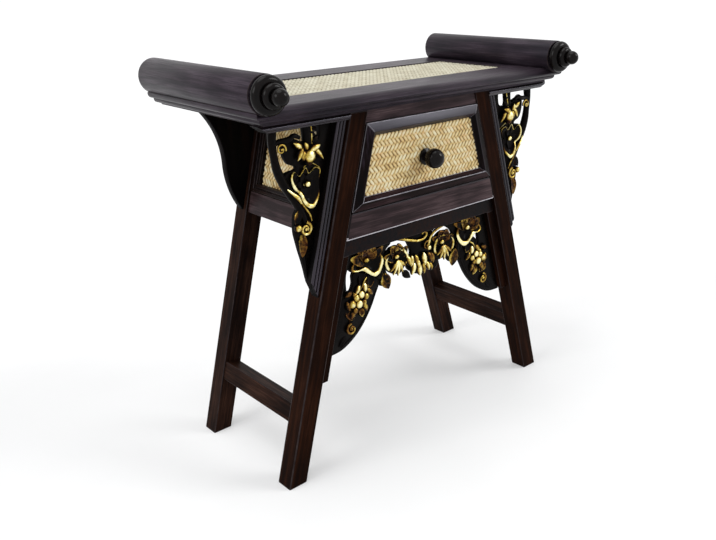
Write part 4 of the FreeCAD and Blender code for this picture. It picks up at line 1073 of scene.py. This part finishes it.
def apron_half(relief, side, top):
    """One side of the apron: its boards, two flowers, berries, leaves and a curl."""
    def at(x, *others):
        return (side * x, *others)

    def lean(angle):
        return angle if side > 0 else 180 - angle

    post = [(apron_edge(top), top), (POSTS[side][0][0], top), *POSTS[side], (apron_edge(345), 345)]
    foot = [(apron_edge(LIMB_FOOT) - 8, LIMB_FOOT), (apron_edge(LIMB_FOOT), LIMB_FOOT)]
    limb = [(apron_edge(350), 350), *LIMB_TOPS[side], *LIMB_ARCH, *foot]
    for outline, thickness in ((post, 8), (limb, 9), (((190, top), (104, top), *OUTER_BOARD), 6),
                               (((122, top), (84, top), *LINK_BOARD), 7), (INNER_BOARD, 6)):
        relief.plate([at(*point) for point in outline], thickness)
    for place, petals, rim in FLOWERS:
        for angle, length, width, gilt, tint in petals:
            relief.petal(at(*place), lean(angle), length, width, 9, 3.5, gilt, tint)
        relief.bowl([at(*point) for point in rim], at(*place))
    for angle, length, width, gilt in FAN_PETALS:
        relief.lobe(at(66, 9, 398), lean(angle), length, width, 3, 5.5, gilt)
    for x, z, angle, length, width, gilt in SPRAY:
        relief.lobe(at(x, 8, z), lean(angle), length, width, 2, 7, gilt)
    for x, z, radius, gilt in BERRIES:
        relief.ball(at(x, 13, z), radius, gilt, (1.0, 0.9, 1.08))
    relief.lobe(at(106, 8, 380), lean(-108), 40, 27, 3, 6, 0.85, point=1.0, rib=3)
    relief.lobe(at(120, 7, 398), lean(-100), 30, 20, 3, 5, 0.35, point=1.0, rib=3)
    relief.lobe(at(52, 6, 368), lean(222), 30, 17, 2, 5, 0.12, point=0.8, rib=2)
    relief.petal(at(164, 8, 392), lean(-92), 32, 18, 5, 2.5, 0.9, 0.03)
    relief.petal(at(141, 8, 388), lean(-84), 30, 18, 5, 2.5, 0.7, 0.05)
    relief.tube([at(152, 12, 384, 1.2), at(160, 14, 378, 1.8), at(166, 13, 366, 1.2)], 0.85)
    relief.petal(at(204, 8, 324), lean(-128), 28, 18, 5, 2.5, 0.85, 0.3)
    relief.petal(at(172, 8, 322), lean(-110), 22, 13, 5, 2.5, 0.9, 0.4)
    relief.lobe(at(186, 8, 316), lean(-60), 24, 13, 2, 4, 0.4, point=0.8, rib=2)
    relief.scroll(at(196, 11, 284), 12, 3.6, lean(90), 1.3, 0.7, -side)
    relief.lobe(at(208, 8, 270), lean(-40), 26, 12, 1, 3, 0.15, point=0.8, rib=2)
    relief.tube([at(124, 8, 350, 2.2), at(141, 8, 317, 2.2), at(162, 8, 290, 2.2), at(190, 8, 266, 2.2),
                 at(222, 8, 250, 2.2)], 0.12)


def apron_carving():
    """Pierced apron: two flowers and a limb on each side of a cluster of buds."""
    node = "apron_carving"
    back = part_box(node)[1].y
    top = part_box("apron_top_strip")[0].z / MM
    relief = Relief()
    for side in SIDES.values():
        apron_half(relief, side, top)
    relief.plate([(-50, top), *MIDDLE_BOARD, (62, top)], 8)
    for x, z, angle, length, width, gilt in BUDS:
        relief.lobe((x, 9, z), angle, length, width, 2, 8, gilt)
    relief.tube([(-62, 8, top - 2, 3.6), (-30, 10, 432, 3.4), (-8, 11, 426, 3.2), (10, 11, 428, 3),
                 (17, 11, 436, 3), (9, 11, 442, 2.8), (3, 11, 438, 2.4)], 0.85)
    relief.tube([(20, 11, 405, 4), (25, 11, 420, 3.4), (36, 11, 433, 3.2), (60, 10, 441, 3.2),
                 (86, 8, top, 3)], 0.85)
    relief.scroll((17, 11, 409), 11, 2.6, 30, 0.9, 0.6, 1)
    relief.ball((21, 13, 404), 6, 1.0)
    relief.piece("apron_relief", node, 1, back)


for name, side in SIDES.items():
    bracket_carving(name, side)
apron_carving()


# Camera, fitted to the photograph

IMAGE_WIDTH = 716
FOCAL_PIXELS = 779.79
SENSOR = 36.0
PRINCIPAL_X = 420.0
CAMERA_PLACE = Vector((-1.0711, -1.251, 0.9556))
CAMERA_YAW = radians(43.324)
CAMERA_PITCH = radians(20.994)
CAMERA_ROLL = radians(-0.854)


def make_camera():
    data = bpy.data.cameras.new("camera")
    data.sensor_width = SENSOR
    data.lens = FOCAL_PIXELS * SENSOR / IMAGE_WIDTH
    data.shift_x = (IMAGE_WIDTH / 2 - PRINCIPAL_X) / IMAGE_WIDTH
    camera = new_object("camera", data)
    camera.matrix_world = (
        Matrix.Translation(CAMERA_PLACE)
        @ Matrix.Rotation(-CAMERA_YAW, 4, "Z")
        @ Matrix.Rotation(pi / 2 - CAMERA_PITCH, 4, "X")
        @ Matrix.Rotation(CAMERA_ROLL, 4, "Z")
    )
    bpy.context.scene.camera = camera


make_camera()


# Floor, world and lamps

FLOOR_REACH = 120.0
FLOOR_FADE = (32.0, 115.0)
FLOOR_GLOW = 0.32
FLOOR_TONES = ((0.67, 0.67, 0.67), (0.69, 0.69, 0.69))
WHITE = (1.0, 1.0, 1.0)
WORLD_TINT = (0.96, 0.98, 1.0)
WORLD_LIGHT = 0.4
# Distant softboxes: place, strength, width in degrees
LAMPS = {
    "key": ((1.65, -1.42, 1.25), 1.2, 24),
    "fill": ((-2.0, 0.2, 1.05), 1.0, 30),
    "above": ((-0.15, 0.25, 2.5), 1.3, 44),
}


def seen_directly(tree):
    """One for rays from the camera, and for their mirrored and transmitted parts."""
    ray = add(tree, "LightPath").outputs
    seen = maths(tree, "MAXIMUM", ray["Is Camera Ray"], ray["Is Glossy Ray"])
    return maths(tree, "MAXIMUM", seen, ray["Is Transmission Ray"])


def make_floor():
    """White sheet that keeps the shadow: lit, with a share that only eyes and mirrors see, lost far away."""
    material, tree, shader = new_material("floor")
    place = place_of(tree)
    dull, bright = FLOOR_TONES
    distance = add(tree, "VectorMath", {0: place}, operation="LENGTH").outputs["Value"]
    glow = span(tree, distance, *FLOOR_FADE, FLOOR_GLOW, 0.0)
    set_inputs(tree, shader, {
        "Base Color": ramp(tree, noise(tree, place, 4.0), [(0.3, dull), (0.7, bright)]),
        "Roughness": 0.9,
        GLOSS: 0.0,
        "Emission Color": (*WHITE, 1),
        "Emission Strength": maths(tree, "MULTIPLY", seen_directly(tree), glow),
    })
    mesh = bpy.data.meshes.new("floor")
    corners = [(x * FLOOR_REACH, y * FLOOR_REACH, 0) for x, y in ((-1, -1), (1, -1), (1, 1), (-1, 1))]
    mesh.from_pydata(corners, [], [(0, 1, 2, 3)])
    mesh.materials.append(material)
    floor = new_object("floor", mesh)


def make_world():
    """Even pale light, behind which eyes and mirrors see white."""
    world = bpy.data.worlds.new("studio")
    world.use_nodes = True
    tree = world.node_tree
    seen = seen_directly(tree)
    set_inputs(tree, tree.nodes["Background"], {
        "Color": mix(tree, seen, WORLD_TINT, WHITE),
        "Strength": span(tree, seen, 0.0, 1.0, WORLD_LIGHT, 1.0),
    })
    bpy.context.scene.world = world


def make_lamp(name, place, strength, width):
    """Softbox that shines towards the middle of the floor."""
    data = bpy.data.lights.new(name, "SUN")
    data.energy = strength
    data.angle = radians(width)
    lamp = new_object(name, data)
    lamp.location = place
    lamp.rotation_mode = "QUATERNION"
    lamp.rotation_quaternion = (-Vector(place)).to_track_quat("-Z", "Y")


make_floor()
make_world()
for name, lamp in LAMPS.items():
    make_lamp(name, *lamp)

bpy.context.scene.view_settings.view_transform = "Standard"
